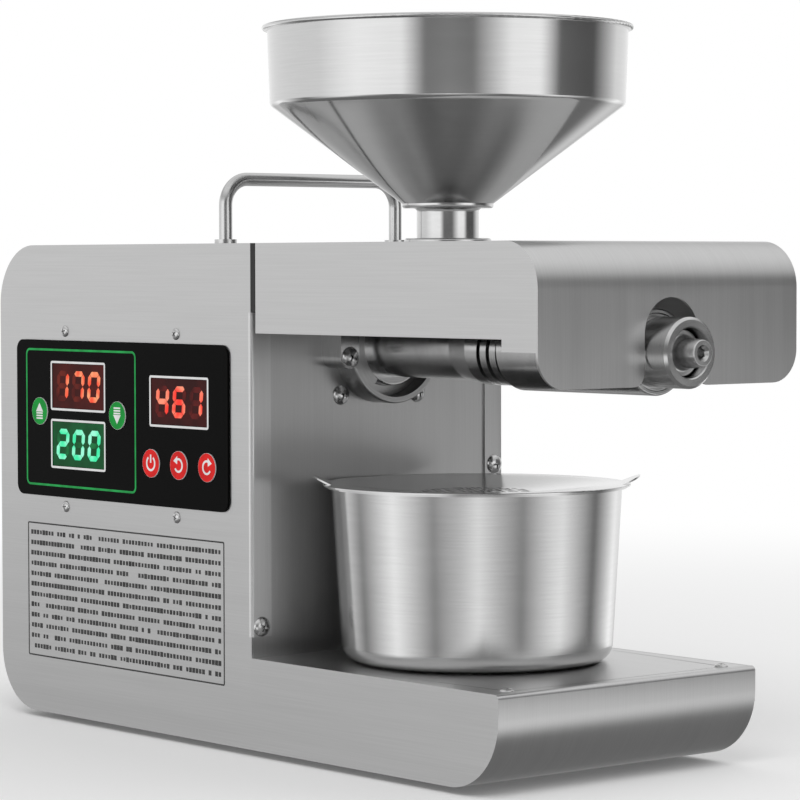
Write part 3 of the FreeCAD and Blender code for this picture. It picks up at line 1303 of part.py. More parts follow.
def strainer_ear(turn):
    """Lifting ear of the strainer: a tab that rises past the rim, with a rounded end."""
    low = POT_TOP
    start = STRAINER_SEAT
    profile = [(start, low, 0), (STRAINER_RIM - 4, low, 1.0), (EAR_REACH, low + EAR_RISE, 0),
               (EAR_REACH, low + EAR_RISE + STRAINER_SHEET, 0),
               (STRAINER_RIM - 4, low + STRAINER_SHEET, 1.0), (start, low + STRAINER_SHEET, 0)]
    face = outline(profile, lambda u, v: at(u, EAR_WIDTH / 2.0, v))
    tab = face.extrude(FreeCAD.Vector(0, EAR_WIDTH, 0))
    end = upright(EAR_WIDTH / 2.0, low - 1, low + EAR_RISE + 2, EAR_REACH - EAR_WIDTH / 2.0, 0)
    root = block((start - 1, EAR_REACH - EAR_WIDTH / 2.0), (-EAR_WIDTH, EAR_WIDTH),
                 (low - 1, low + EAR_RISE + 2))
    tab = tab.common(end.fuse(root))
    tab.rotate(at(0, 0, 0), UPWARD, EAR_HEADING + turn)
    tab.translate(at(POT_OFFSET, POT_REACH, 0).sub(at(0, 0, 0)))
    return tab


def strainer_dish():
    """Shallow dish that rests on the pot's rim, with a perforated floor and two ears."""
    sheet = STRAINER_SHEET
    level = POT_TOP - STRAINER_DROP
    dish = spun([(0, level, 0), (STRAINER_FLOOR, level, 2.0), (STRAINER_SEAT, POT_TOP, 3.0),
                 (STRAINER_RIM, POT_TOP, 0), (STRAINER_RIM, POT_TOP + sheet, 0.3),
                 (STRAINER_SEAT, POT_TOP + sheet, 3.0), (STRAINER_FLOOR, level + sheet, 2.0),
                 (0, level + sheet, 0)], POT_OFFSET, POT_REACH)
    dish = cut_all(dish, strainer_holes(level))
    return dish.fuse(strainer_ear(0)).fuse(strainer_ear(180.0))


# ---- control panel ------------------------------------------------------------------------------
def panel_plug_corners(gap):
    """Outline of the part of the bezel that sits in the side panel's cut-out."""
    inset = PANEL_PLUG_INSET - gap
    return rectangle((PANEL_REAR + inset, PANEL_FRONT - inset), (PANEL_FOOT + inset, PANEL_HEAD - inset),
                     PANEL_CORNER - inset)


def panel_spots(places):
    """Centres (reach, height) of things placed from the middle of the panel."""
    return [(PANEL_MIDDLE[0] + dx, PANEL_MIDDLE[1] + dz) for dx, dz in places.values()]


def window_corners(centre, gap):
    """Outline of a display window."""
    half_length = WINDOW_LENGTH / 2.0 + gap
    half_height = WINDOW_HEIGHT / 2.0 + gap
    return rectangle((centre[0] - half_length, centre[0] + half_length),
                     (centre[1] - half_height, centre[1] + half_height))


def panel_bezel():
    """Gloss plate of the control panel, with windows for the displays and holes for the keys."""
    face = rectangle((PANEL_REAR, PANEL_FRONT), (PANEL_FOOT, PANEL_HEAD), PANEL_CORNER)
    bezel = slab(face, (PANEL_FACE, -HALF_WIDTH))
    bezel = bezel.fuse(slab(panel_plug_corners(0), (-HALF_WIDTH, PANEL_BACK)))
    through = (PANEL_FACE - 1, PANEL_BACK + 1)
    cutters = [slab(window_corners(centre, FIT_GAP), through) for centre in panel_spots(WINDOW_PLACES)]
    for reach, height in panel_spots(KEY_PLACES):
        cutters.append(across(KEY_RADIUS + SLIDE_GAP, *through, reach, height))
        cutters.append(across(KEY_FLANGE + SLIDE_GAP, PANEL_BACK + 1, key_flange_face() - SLIDE_GAP,
                              reach, height))
    return cut_all(bezel, cutters).removeSplitter()


def key_flange_face():
    """Outer face of the flange that keeps a key in the bezel."""
    return PANEL_BACK - KEY_FLANGE_THICKNESS


def panel_key(centre):
    """Round key with a retaining flange and a stem down to its switch."""
    reach, height = centre
    cap = across(KEY_RADIUS, PANEL_FACE - KEY_TRAVEL / 2.0, key_flange_face(), reach, height)
    flange = across(KEY_FLANGE, key_flange_face(), PANEL_BACK, reach, height)
    stem = across(SWITCH_SIZE / 2.0, PANEL_BACK, switch_face() - KEY_TRAVEL - FIT_GAP, reach, height)
    return cap.fuse(flange).fuse(stem)


def switch_face():
    """Outer face of the switch plungers on the control board."""
    return BOARD_FACE - SWITCH_SIZE / 3.0


def led_displays():
    """Three display modules behind the windows, standing on the control board."""
    front = PANEL_FACE + DISPLAY_RECESS
    return [slab(window_corners(centre, 0), (front, BOARD_FACE))
            for centre in panel_spots(WINDOW_PLACES)]


def control_board():
    """Circuit board with key switches, relay, transformer and capacitor."""
    reach_span = (PANEL_REAR + BOARD_MARGIN, PANEL_FRONT - BOARD_MARGIN)
    height_span = (PANEL_FOOT + BOARD_MARGIN, PANEL_HEAD - BOARD_MARGIN)
    back = BOARD_FACE + BOARD_THICKNESS
    board = block((BOARD_FACE, back), reach_span, height_span)
    half = SWITCH_SIZE / 2.0
    for reach, height in panel_spots(KEY_PLACES):
        board = board.fuse(block((switch_face(), BOARD_FACE), (reach - half, reach + half),
                                 (height - half, height + half)))
    rear, foot = reach_span[0] + BOARD_MARGIN, height_span[0] + BOARD_MARGIN
    for length, tall, depth in (TRANSFORMER, RELAY):
        board = board.fuse(block((back, back + depth), (rear, rear + length), (foot, foot + tall)))
        rear += length + BOARD_MARGIN
    return board.fuse(across(CAPACITOR_RADIUS, back, back + CAPACITOR_LENGTH, rear,
                             foot + RELAY[1] + CAPACITOR_RADIUS))


def board_pillars():
    """Pillars from the bezel to the corners of the control board."""
    inset = BOARD_MARGIN + 2.0
    return [across(1.8, PANEL_BACK, BOARD_FACE, reach, height)
            for reach in (PANEL_REAR + inset, PANEL_FRONT - inset)
            for height in (PANEL_FOOT + inset, PANEL_HEAD - inset)]


# ---- power inlet --------------------------------------------------------------------------------
def inlet_rectangle(size, gap):
    """Rounded outline of a part of the inlet."""
    half_x = size[0] / 2.0 + gap
    half_z = size[1] / 2.0 + gap
    return rectangle((-half_x, half_x), (INLET_HEIGHT - half_z, INLET_HEIGHT + half_z), 2.0)


def power_inlet():
    """Appliance inlet in the back of the cabinet, with its three pins."""
    rear = -CABINET_LENGTH - INLET_FLANGE_THICKNESS
    front = -CABINET_LENGTH + INLET_DEPTH
    socket_floor = rear + INLET_SOCKET_DEPTH
    inlet = plate(inlet_rectangle(INLET_FLANGE, 0), (rear, -CABINET_LENGTH))
    inlet = inlet.fuse(plate(inlet_rectangle(INLET_BODY, 0), (-CABINET_LENGTH, front)))
    inlet = inlet.cut(plate(inlet_rectangle(INLET_SOCKET, 0), (rear - 1, socket_floor)))
    for x, height in INLET_PIN_SPOTS:
        inlet = inlet.fuse(block((x - INLET_PIN[0] / 2.0, x + INLET_PIN[0] / 2.0),
                                 (rear + 3.0, socket_floor + 2.0),
                                 (INLET_HEIGHT + height - INLET_PIN[1] / 2.0,
                                  INLET_HEIGHT + height + INLET_PIN[1] / 2.0)))
    return inlet


# ---- fasteners ----------------------------------------------------------------------------------
def screws(sizes, seats, outward):
    """One screw on each seat."""
    return [pan_screw(sizes, seat, outward) for seat in seats]


NODES = {
    "side_panel_left": lambda: side_panel(-1),
    "side_panel_right": lambda: side_panel(1),
    "wrap_sheet": wrap_sheet,
    "front_wall": front_wall,
    "base_shell": base_shell,
    "tray_plate": tray_plate,
    "rubber_feet": rubber_feet,
    "barrel_seat": barrel_seat,
    "guide_posts": guide_posts,
    "heater_ring": heater_ring,
    "temperature_probe": temperature_probe,
    "press_barrel": press_barrel,
    "barrel_jacket": barrel_jacket,
    "outlet_nut": outlet_nut,
    "hood_gasket": hood_gasket,
    "carry_handle": carry_handle,
    "handle_nuts": handle_nuts,
    "panel_bezel": panel_bezel,
    "led_displays": led_displays,
    "control_board": control_board,
    "board_pillars": board_pillars,
    "power_inlet": power_inlet,
    "gearbox_case": gearbox_case,
    "gearbox_cover": gearbox_cover,
    "gearbox_bolts": gearbox_bolts,
    "gear_bushes": gear_bushes,
    "output_bearings": output_bearings,
    "motor_can": motor_can,
    "motor_front_bell": motor_front_bell,
    "motor_rear_bell": motor_rear_bell,
    "motor_magnets": motor_magnets,
    "motor_cradle": motor_cradle,
    "seat_screws": lambda: screws(WALL_SCREW, wall_screw_seats(), FORWARD),
    "post_screws": lambda: screws(POST_SCREW, post_screw_seats(), FORWARD),
    "flange_screws": lambda: screws(FLANGE_SCREW, flange_screw_seats(), FORWARD),
    "panel_screws": lambda: screws(PANEL_SCREW, panel_screw_seats(), LEFTWARD),
    "tray_screws": lambda: screws(TRAY_SCREW, tray_screw_seats(), UPWARD),
    "rotor_shaft": rotor_shaft,
    "rotor_core": rotor_core,
    "motor_pinion": motor_pinion,
    "cooling_fan": cooling_fan,
    "first_gear": first_gear,
    "first_shaft": first_shaft,
    "second_gear": second_gear,
    "second_shaft": second_shaft,
    "output_gear": output_gear,
    "drive_socket": drive_socket,
    "press_screw": press_screw,
    "hood_shell": hood_shell,
    "hood_channels": hood_channels,
    "hopper_guard": hopper_guard,
    "feed_hopper": feed_hopper,
    "oil_pot": oil_pot,
    "strainer_dish": strainer_dish,
}


def main():
    """Build every node and write its STEP file."""
    os.makedirs("parts", exist_ok=True)
    nodes = {name: build() for name, build in NODES.items()}
    key_centres = dict(zip(KEY_PLACES, panel_spots(KEY_PLACES)))
    nodes.update({name: panel_key(centre) for name, centre in key_centres.items()})
    for name, shape in nodes.items():
        if isinstance(shape, list):
            shape = Part.makeCompound(shape)
        shape.exportStep(f"parts/{name}.step")
        print(name, len(shape.Solids), round(shape.Volume, 1), shape.isValid())


main()
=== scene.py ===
"""Looks of the screw oil press: finishes, screws, control panel, strainer and studio.

Every length is in metres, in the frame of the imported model.
"""

import logging
import math
from dataclasses import dataclass, field
from enum import Enum

import bmesh
import bpy
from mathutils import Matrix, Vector

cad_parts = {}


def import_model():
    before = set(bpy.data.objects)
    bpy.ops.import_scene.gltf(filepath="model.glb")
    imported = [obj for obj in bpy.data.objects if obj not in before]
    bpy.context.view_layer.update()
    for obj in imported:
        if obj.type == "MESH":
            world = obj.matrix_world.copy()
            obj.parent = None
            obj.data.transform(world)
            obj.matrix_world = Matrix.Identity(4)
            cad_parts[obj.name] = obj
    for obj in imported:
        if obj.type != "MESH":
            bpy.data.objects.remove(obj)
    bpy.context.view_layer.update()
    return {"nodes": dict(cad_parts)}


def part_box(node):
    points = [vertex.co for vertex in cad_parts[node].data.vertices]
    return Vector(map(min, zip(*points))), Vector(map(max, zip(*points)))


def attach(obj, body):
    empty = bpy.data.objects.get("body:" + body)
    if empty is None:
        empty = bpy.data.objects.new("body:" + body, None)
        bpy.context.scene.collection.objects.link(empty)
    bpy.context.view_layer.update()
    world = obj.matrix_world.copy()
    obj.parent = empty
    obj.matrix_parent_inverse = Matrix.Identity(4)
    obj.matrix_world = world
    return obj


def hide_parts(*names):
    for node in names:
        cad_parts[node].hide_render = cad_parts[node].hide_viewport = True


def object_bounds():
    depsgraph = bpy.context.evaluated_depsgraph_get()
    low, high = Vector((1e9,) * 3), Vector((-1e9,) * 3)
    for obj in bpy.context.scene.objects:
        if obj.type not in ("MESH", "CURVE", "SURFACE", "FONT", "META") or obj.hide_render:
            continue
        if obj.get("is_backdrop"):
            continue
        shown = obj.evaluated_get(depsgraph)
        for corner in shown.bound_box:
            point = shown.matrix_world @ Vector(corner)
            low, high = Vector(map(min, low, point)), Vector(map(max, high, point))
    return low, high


log = logging.getLogger("oil_press")

MM = 0.001
X_AXIS = Vector((1.0, 0.0, 0.0))
Y_AXIS = Vector((0.0, 1.0, 0.0))
Z_AXIS = Vector((0.0, 0.0, 1.0))

Socket = bpy.types.NodeSocket
Colour = tuple[float, float, float, float]


class Body(Enum):
    """Moving bodies of the press that dressed pieces ride on."""

    HOUSING = "housing"
    STRAINER = "strainer"


class Lay(Enum):
    """Way the polishing lines of a metal piece run."""

    SHEET = "along the machine on its bent and flat sheets"
    UPRIGHT = "round an upright axis"
    LEVEL = "round an axis that runs from front to back"
    SANDY = "no lines, a fine even grain"


def grey(level: float) -> Colour:
    """Neutral colour of one linear level."""
    return (level, level, level, 1.0)


def linear(red: int, green: int, blue: int) -> Colour:
    """Linear colour of a swatch given in display values.

    Args:
        red: Display value from 0 to 255.
        green: Display value from 0 to 255.
        blue: Display value from 0 to 255.

    Returns:
        The colour that Blender's sockets take.
    """
    def channel(value: int) -> float:
        """Linear light of one display value."""
        share = value / 255.0
        return share / 12.92 if share <= 0.04045 else ((share + 0.055) / 1.055) ** 2.4

    return (channel(red), channel(green), channel(blue), 1.0)


def toned(colour: Colour, factor: float) -> Colour:
    """Colour made darker or paler by a factor, no channel above 1."""
    return tuple(min(1.0, channel * factor) for channel in colour[:3]) + (1.0,)


# ---- node trees ---------------------------------------------------------------------------------
MIX_FIRST_COLOUR = 6
MIX_SECOND_COLOUR = 7
MIX_RESULT_COLOUR = 2
TONE_SPAN = (0.3, 0.7)
STROKE_SHARE = 0.65
BROAD_SHARE = 0.35


class Graph:
    """Short way to write nodes into one tree."""

    def __init__(self, tree: bpy.types.NodeTree) -> None:
        """Start with an empty tree.

        Args:
            tree: Shader or Geometry Nodes tree to fill.
        """
        self.tree = tree
        self.source: bpy.types.NodeOutputs | None = None
        self.sink: bpy.types.NodeInputs | None = None
        tree.nodes.clear()

    def node(self, kind: str, feeds: dict | None = None, **settings: object) -> bpy.types.Node:
        """Add one node.

        Args:
            kind: Blender's name of the node type.
            feeds: Values or sockets for its inputs, by name or number.
            settings: Properties of the node.

        Returns:
            The new node.
        """
        made = self.tree.nodes.new(kind)
        for name, value in settings.items():
            setattr(made, name, value)
        for key, value in (feeds or {}).items():
            self.feed(made.inputs[key], value)
        return made

    def feed(self, socket: Socket, value: object) -> None:
        """Link a socket to an input, or set a constant on it.

        Args:
            socket: Input to fill.
            value: Output socket, list of output sockets or constant.
        """
        if isinstance(value, list):
            for source in value:
                self.tree.links.new(source, socket)
        elif isinstance(value, Socket):
            self.tree.links.new(value, socket)
        else:
            socket.default_value = value

    def math(self, operation: str, *values: object, clamp: bool = False) -> Socket:
        """Result of one Math node.

        Args:
            operation: Name of the operation.
            values: Its inputs in order.
            clamp: Whether to keep the result between 0 and 1.

        Returns:
            The output socket.
        """
        feeds = dict(enumerate(values))
        return self.node("ShaderNodeMath", feeds, operation=operation, use_clamp=clamp).outputs[0]

    def vector(self, operation: str, *values: object, output: str = "Vector") -> Socket:
        """Result of one Vector Math node.

        Args:
            operation: Name of the operation.
            values: Its inputs in order.
            output: Name of the output wanted.

        Returns:
            The output socket.
        """
        feeds = dict(enumerate(values))
        return self.node("ShaderNodeVectorMath", feeds, operation=operation).outputs[output]

    def combine(self, x: object, y: object, z: object) -> Socket:
        """Vector made of three values."""
        return self.node("ShaderNodeCombineXYZ", {0: x, 1: y, 2: z}).outputs[0]

    def separate(self, vector: Socket) -> tuple[Socket, Socket, Socket]:
        """Three parts of a vector."""
        parts = self.node("ShaderNodeSeparateXYZ", {0: vector}).outputs
        return parts[0], parts[1], parts[2]

    def span(self, value: Socket, low: float, high: float) -> Socket:
        """Smooth rise from 0 at low to 1 at high, low may be the larger.

        Args:
            value: Value to read.
            low: Where the rise starts.
            high: Where it ends.

        Returns:
            Socket between 0 and 1.
        """
        feeds = {"Value": value, "From Min": low, "From Max": high, "To Min": 0.0, "To Max": 1.0}
        if low > high:
            feeds.update({"From Min": high, "From Max": low, "To Min": 1.0, "To Max": 0.0})
        return self.node("ShaderNodeMapRange", feeds, interpolation_type="SMOOTHSTEP").outputs[0]

    def blend(self, share: object, first: object, second: object) -> Socket:
        """Colour between two colours.

        Args:
            share: 0 for the first, 1 for the second.
            first: Colour or socket.
            second: Colour or socket.

        Returns:
            Colour socket.
        """
        feeds = {"Factor": share, MIX_FIRST_COLOUR: first, MIX_SECOND_COLOUR: second}
        return self.node("ShaderNodeMix", feeds, data_type="RGBA").outputs[MIX_RESULT_COLOUR]

    def noise(self, vector: Socket, scale: float, detail: float = 2.0) -> Socket:
        """Noise value of a scaled place.

        Args:
            vector: Place to read.
            scale: Cells in one unit.
            detail: Octaves.

        Returns:
            Value around 0.5.
        """
        feeds = {"Vector": vector, "Scale": scale, "Detail": detail}
        return self.node("ShaderNodeTexNoise", feeds, noise_dimensions="3D").outputs[0]

    def random(self, kind: str, feeds: dict) -> Socket:
        """Random value of each point.

        Args:
            kind: Data type of the value.
            feeds: Limits or probability, and the seed.

        Returns:
            The output socket of that type.
        """
        made = self.node("FunctionNodeRandomValue", feeds, data_type=kind)
        return next(output for output in made.outputs if output.enabled)

    def ramp(self, value: Socket, stops: list[tuple[float, float]]) -> Socket:
        """Grey ramp with linear runs between its stops.

        Args:
            value: Value to read, from 0 to 1.
            stops: Pairs of place and grey level, in rising order.

        Returns:
            Colour socket.
        """
        made = self.node("ShaderNodeValToRGB", {0: value})
        stripe = made.color_ramp.elements
        stripe[0].position, stripe[0].color = stops[0][0], grey(stops[0][1])
        stripe[1].position, stripe[1].color = stops[-1][0], grey(stops[-1][1])
        for place, level in stops[1:-1]:
            stripe.new(place).color = grey(level)
        return made.outputs[0]


def group_tree(name: str, kind: str, inputs: list[tuple], outputs: list[tuple]) -> Graph:
    """Start a node group with named sockets.

    Args:
        name: Name of the group.
        kind: Type of the tree.
        inputs: Name, socket type and default value of each input.
        outputs: Name and socket type of each output.

    Returns:
        Graph of the new tree, with its ends as .source and .sink.
    """
    tree = bpy.data.node_groups.new(name, kind)
    for label, socket_type, default in inputs:
        socket = tree.interface.new_socket(name=label, in_out="INPUT", socket_type=socket_type)
        if default is not None:
            socket.default_value = default
    for label, socket_type in outputs:
        tree.interface.new_socket(name=label, in_out="OUTPUT", socket_type=socket_type)
    graph = Graph(tree)
    graph.source = graph.node("NodeGroupInput").outputs
    graph.sink = graph.node("NodeGroupOutput").inputs
    return graph


FLOAT = "NodeSocketFloat"
VECTOR = "NodeSocketVector"
GEOMETRY = "NodeSocketGeometry"
MATERIAL = "NodeSocketMaterial"
INTEGER = "NodeSocketInt"
GRAIN_OUTPUTS = [("Tone", FLOAT), ("Gloss", FLOAT), ("Height", FLOAT)]


class GrainGroups:
    """Shader groups with the surface patterns that several finishes share."""

    def __init__(self) -> None:
        """Build each group once."""
        self.sheet = self._sheet()
        self.turned = self._turned()
        self.handled = self._handled()

    def _finish(self, graph: Graph, strokes: Socket, broad: Socket) -> None:
        """Wire the outputs that every grain has.

        Args:
            graph: Group being built.
            strokes: Fine lines.
            broad: Slow change from one patch to the next.
        """
        both = graph.math("MULTIPLY_ADD", strokes, STROKE_SHARE,
                          graph.math("MULTIPLY", broad, BROAD_SHARE))
        graph.feed(graph.sink["Tone"], both)
        graph.feed(graph.sink["Gloss"], broad)
        graph.feed(graph.sink["Height"], strokes)

    def _sheet(self) -> bpy.types.NodeTree:
        """Lines of brushed sheet that run along the machine and down its bent fronts."""
        graph = group_tree("SheetGrain", "ShaderNodeTree",
                           [("Fine", FLOAT, 1400.0), ("Long", FLOAT, 16.0)], GRAIN_OUTPUTS)
        place = graph.node("ShaderNodeTexCoord").outputs
        x, y, z = graph.separate(place["Object"])
        nx = graph.separate(place["Normal"])[0]
        side = graph.math("GREATER_THAN", graph.math("ABSOLUTE", nx), 0.5)
        across = graph.math("ADD", graph.math("MULTIPLY", side, z),
                            graph.math("MULTIPLY", graph.math("SUBTRACT", 1.0, side), x))
        run = graph.math("SUBTRACT", y, graph.math("MULTIPLY", graph.math("SUBTRACT", 1.0, side), z))
        fine = graph.math("MULTIPLY", across, graph.source["Fine"])
        long = graph.math("MULTIPLY", run, graph.source["Long"])
        strokes = graph.noise(graph.combine(fine, long, side), 1.0, 3.0)
        slow = graph.combine(graph.math("MULTIPLY", fine, 0.08), graph.math("MULTIPLY", long, 0.3), side)
        self._finish(graph, strokes, graph.noise(slow, 1.0, 2.0))
        return graph.tree

    def _turned(self) -> bpy.types.NodeTree:
        """Lines round an upright or level axis through a centre."""
        graph = group_tree("TurnedGrain", "ShaderNodeTree",
                           [("Centre", VECTOR, None), ("Level", FLOAT, 0.0), ("Fine", FLOAT, 1600.0),
                            ("Long", FLOAT, 3.0)], GRAIN_OUTPUTS)
        place = graph.node("ShaderNodeTexCoord").outputs["Object"]
        x, y, z = graph.separate(graph.vector("SUBTRACT", place, graph.source["Centre"]))
        level = graph.source["Level"]
        upright = graph.math("SUBTRACT", 1.0, level)
        second = graph.math("ADD", graph.math("MULTIPLY", upright, y), graph.math("MULTIPLY", level, z))
        height = graph.math("ADD", graph.math("MULTIPLY", upright, z), graph.math("MULTIPLY", level, y))
        turn = graph.vector("NORMALIZE", graph.combine(x, second, 0.0))
        radius = graph.vector("LENGTH", graph.combine(x, second, 0.0), output="Value")
        long = graph.source["Long"]
        parts = graph.separate(turn)
        slope = graph.math("MULTIPLY_ADD", radius, 1.7, height)
        fine = graph.math("MULTIPLY", slope, graph.source["Fine"])
        strokes = graph.noise(graph.combine(graph.math("MULTIPLY", parts[0], long),
                                            graph.math("MULTIPLY", parts[1], long), fine), 1.0, 3.0)
        slow = graph.combine(parts[0], parts[1], graph.math("MULTIPLY", fine, 0.05))
        self._finish(graph, strokes, graph.noise(slow, 1.0, 2.0))
        return graph.tree

    def _handled(self) -> bpy.types.NodeTree:
        """Fine even grain with faint cloudy marks of handling."""
        graph = group_tree("HandledSkin", "ShaderNodeTree",
                           [("Fine", FLOAT, 900.0), ("Cloud", FLOAT, 28.0)], GRAIN_OUTPUTS)
        place = graph.node("ShaderNodeTexCoord").outputs["Object"]
        fine = graph.vector("SCALE", place)
        graph.feed(fine.node.inputs["Scale"], graph.source["Fine"])
        cloud = graph.vector("SCALE", place)
        graph.feed(cloud.node.inputs["Scale"], graph.source["Cloud"])
        self._finish(graph, graph.noise(fine, 1.0, 4.0), graph.noise(cloud, 1.0, 3.0))
        return graph.tree


# ---- finishes -----------------------------------------------------------------------------------
@dataclass(frozen=True)
class MetalFinish:
    """Bare metal with its polishing lines.

    Attributes:
        name: Name of the material.
        colour: Linear colour of the metal.
        roughness: Mean roughness.
        lay: Way the lines run.
        tone: Share by which the lines darken or lighten the colour.
        gloss: Change of roughness from patch to patch.
        relief: Depth of the lines in metres.
        stretch: How far reflections spread across the lines.
        fine: Lines in a metre, across them.
    """

    name: str
    colour: Colour
    roughness: float
    lay: Lay
    tone: float = 0.06
    gloss: float = 0.06
    relief: float = 0.00001
    stretch: float = 0.5
    fine: float = 1400.0

    def material(self, grains: GrainGroups, centre: Vector = Vector()) -> bpy.types.Material:
        """Build the material.

        Args:
            grains: Shared shader groups.
            centre: Point on the axis of a turned piece.

        Returns:
            The new material.
        """
        made = bpy.data.materials.new(self.name)
        made.use_nodes = True
        graph = Graph(made.node_tree)
        pattern = self._pattern(graph, grains, centre)
        dark, pale = toned(self.colour, 1.0 - self.tone), toned(self.colour, 1.0 + self.tone)
        colour = graph.blend(graph.span(pattern["Tone"], *TONE_SPAN), dark, pale)
        shift = graph.math("SUBTRACT", pattern["Gloss"], 0.5)
        rough = graph.math("MULTIPLY_ADD", shift, self.gloss, self.roughness)
        bump = graph.node("ShaderNodeBump", {"Strength": 1.0, "Distance": self.relief,
                                             "Height": pattern["Height"]})
        feeds = {"Base Color": colour, "Roughness": rough, "Metallic": 1.0,
                 "Normal": bump.outputs[0], "Anisotropic": self.stretch}
        if self.lay is not Lay.SANDY:
            feeds["Tangent"] = self._tangent(graph, centre)
        shader = graph.node("ShaderNodeBsdfPrincipled", feeds)
        graph.node("ShaderNodeOutputMaterial", {"Surface": shader.outputs[0]})
        return made

    def _pattern(self, graph: Graph, grains: GrainGroups, centre: Vector) -> dict[str, Socket]:
        """Place the grain group that suits the lay.

        Args:
            graph: Graph of the material.
            grains: Shared shader groups.
            centre: Point on the axis of a turned piece.

        Returns:
            Outputs of the group by name.
        """
        feeds: dict[str, object] = {"Fine": self.fine}
        tree = grains.sheet
        if self.lay is Lay.SANDY:
            tree = grains.handled
        elif self.lay is not Lay.SHEET:
            tree = grains.turned
            feeds.update({"Centre": tuple(centre), "Level": float(self.lay is Lay.LEVEL)})
        placed = graph.node("ShaderNodeGroup", node_tree=tree)
        for name, value in feeds.items():
            placed.inputs[name].default_value = value
        return {output.name: output for output in placed.outputs}

    def _tangent(self, graph: Graph, centre: Vector) -> Socket:
        """Direction across the lines, along which reflections spread.

        Args:
            graph: Graph of the material.
            centre: Point on the axis of a turned piece.

        Returns:
            Vector socket.
        """
        normal = graph.node("ShaderNodeNewGeometry").outputs["Normal"]
        if self.lay is Lay.SHEET:
            nx = graph.separate(normal)[0]
            side = graph.math("GREATER_THAN", graph.math("ABSOLUTE", nx), 0.5)
            return graph.combine(graph.math("SUBTRACT", 1.0, side), 0.0, side)
        axis = tuple(Z_AXIS if self.lay is Lay.UPRIGHT else Y_AXIS)
        place = graph.node("ShaderNodeTexCoord").outputs["Object"]
        lines = graph.vector("CROSS_PRODUCT", axis, graph.vector("SUBTRACT", place, tuple(centre)))
        return graph.vector("CROSS_PRODUCT", normal, lines)


@dataclass(frozen=True)
class CoatedFinish:
    """Moulded plastic, rubber, paint or lacquer.

    Attributes:
        name: Name of the material.
        colour: Linear colour.
        roughness: Mean roughness.
        tone: Share by which the colour changes over the surface.
        gloss: Change of roughness from patch to patch.
        relief: Depth of the skin's grain in metres.
        fine: Grains in a metre.
        coat: Weight of a clear coat.
        specular: Level of the mirror reflection, 0.5 for common plastic.
    """

    name: str
    colour: Colour
    roughness: float
    tone: float = 0.08
    gloss: float = 0.08
    relief: float = 0.00002
    fine: float = 900.0
    coat: float = 0.0
    specular: float = 0.5

    def material(self, grains: GrainGroups) -> bpy.types.Material:
        """Build the material.

        Args:
            grains: Shared shader groups.

        Returns:
            The new material.
        """
        made = bpy.data.materials.new(self.name)
        made.use_nodes = True
        graph = Graph(made.node_tree)
        placed = graph.node("ShaderNodeGroup", node_tree=grains.handled)
        placed.inputs["Fine"].default_value = self.fine
        dark, pale = toned(self.colour, 1.0 - self.tone), toned(self.colour, 1.0 + self.tone)
        colour = graph.blend(graph.span(placed.outputs["Tone"], *TONE_SPAN), dark, pale)
        shift = graph.math("SUBTRACT", placed.outputs["Gloss"], 0.5)
        rough = graph.math("MULTIPLY_ADD", shift, self.gloss, self.roughness)
        bump = graph.node("ShaderNodeBump", {"Strength": 1.0, "Distance": self.relief,
                                             "Height": placed.outputs["Height"]})
        shader = graph.node("ShaderNodeBsdfPrincipled", {
            "Base Color": colour, "Roughness": rough, "Metallic": 0.0, "Normal": bump.outputs[0],
            "Coat Weight": self.coat, "Coat Roughness": 0.06,
            "Specular IOR Level": self.specular})
        graph.node("ShaderNodeOutputMaterial", {"Surface": shader.outputs[0]})
        return made


@dataclass(frozen=True)
class LampAndPaintedGlow:
    """Lit mark of the control panel, or a printed mark given a painted glow.

    Attributes:
        name: Name of the material.
        colour: Linear colour of its own light; on a printed mark this light is a painted glow.
        edge: Linear colour towards the darker patches.
        strength: Strength of its own light.
        spots: Patches in a metre.
    """

    name: str
    colour: Colour
    edge: Colour
    strength: float = 1.0
    spots: float = 160.0

    def material(self) -> bpy.types.Material:
        """Build the material.

        Returns:
            The new material.
        """
        made = bpy.data.materials.new(self.name)
        made.use_nodes = True
        graph = Graph(made.node_tree)
        place = graph.node("ShaderNodeTexCoord").outputs["Object"]
        patch = graph.span(graph.noise(place, self.spots, 1.0), *TONE_SPAN)
        glow = graph.blend(patch, self.edge, self.colour)
        # Black surface whose colour is all its own light: a lamp for lit numerals, a painted glow for print, key
        # discs, windows and segments that are off.
        shader = graph.node("ShaderNodeBsdfPrincipled", {
            "Base Color": grey(0.01), "Roughness": 0.5, "Specular IOR Level": 0.05,
            "Emission Color": glow, "Emission Strength": self.strength})
        graph.node("ShaderNodeOutputMaterial", {"Surface": shader.outputs[0]})
        return made


STEEL = grey(0.58)


# ---- meshes -------------------------------------------------------------------------------------
def loose_parts(node: str) -> list[list[Vector]]:
    """Separate solids of a CAD node.

    Args:
        node: Name of the CAD node.

    Returns:
        The corner points of each solid, sorted from the machine's rear foot up.
    """
    shape = bmesh.new()
    shape.from_mesh(bpy.data.objects[node].data)
    bmesh.ops.remove_doubles(shape, verts=shape.verts, dist=1e-6)
    left = set(shape.verts)
    parts = []
    while left:
        queue = [left.pop()]
        found = []
        while queue:
            corner = queue.pop()
            found.append(corner.co.copy())
            for edge in corner.link_edges:
                other = edge.other_vert(corner)
                if other in left:
                    left.remove(other)
                    queue.append(other)
        parts.append(found)
    shape.free()
    return sorted(parts, key=lambda points: tuple(round(v, 4) for v in limits(points)[0]))


def limits(points: list[Vector]) -> tuple[Vector, Vector]:
    """Lowest and highest corner of a set of points."""
    low = Vector(min(point[axis] for point in points) for axis in range(3))
    high = Vector(max(point[axis] for point in points) for axis in range(3))
    return low, high


def new_object(name: str, mesh: bpy.types.Mesh) -> bpy.types.Object:
    """Put a mesh into the scene as an object at the origin."""
    made = bpy.data.objects.new(name, mesh)
    bpy.context.scene.collection.objects.link(made)
    return made


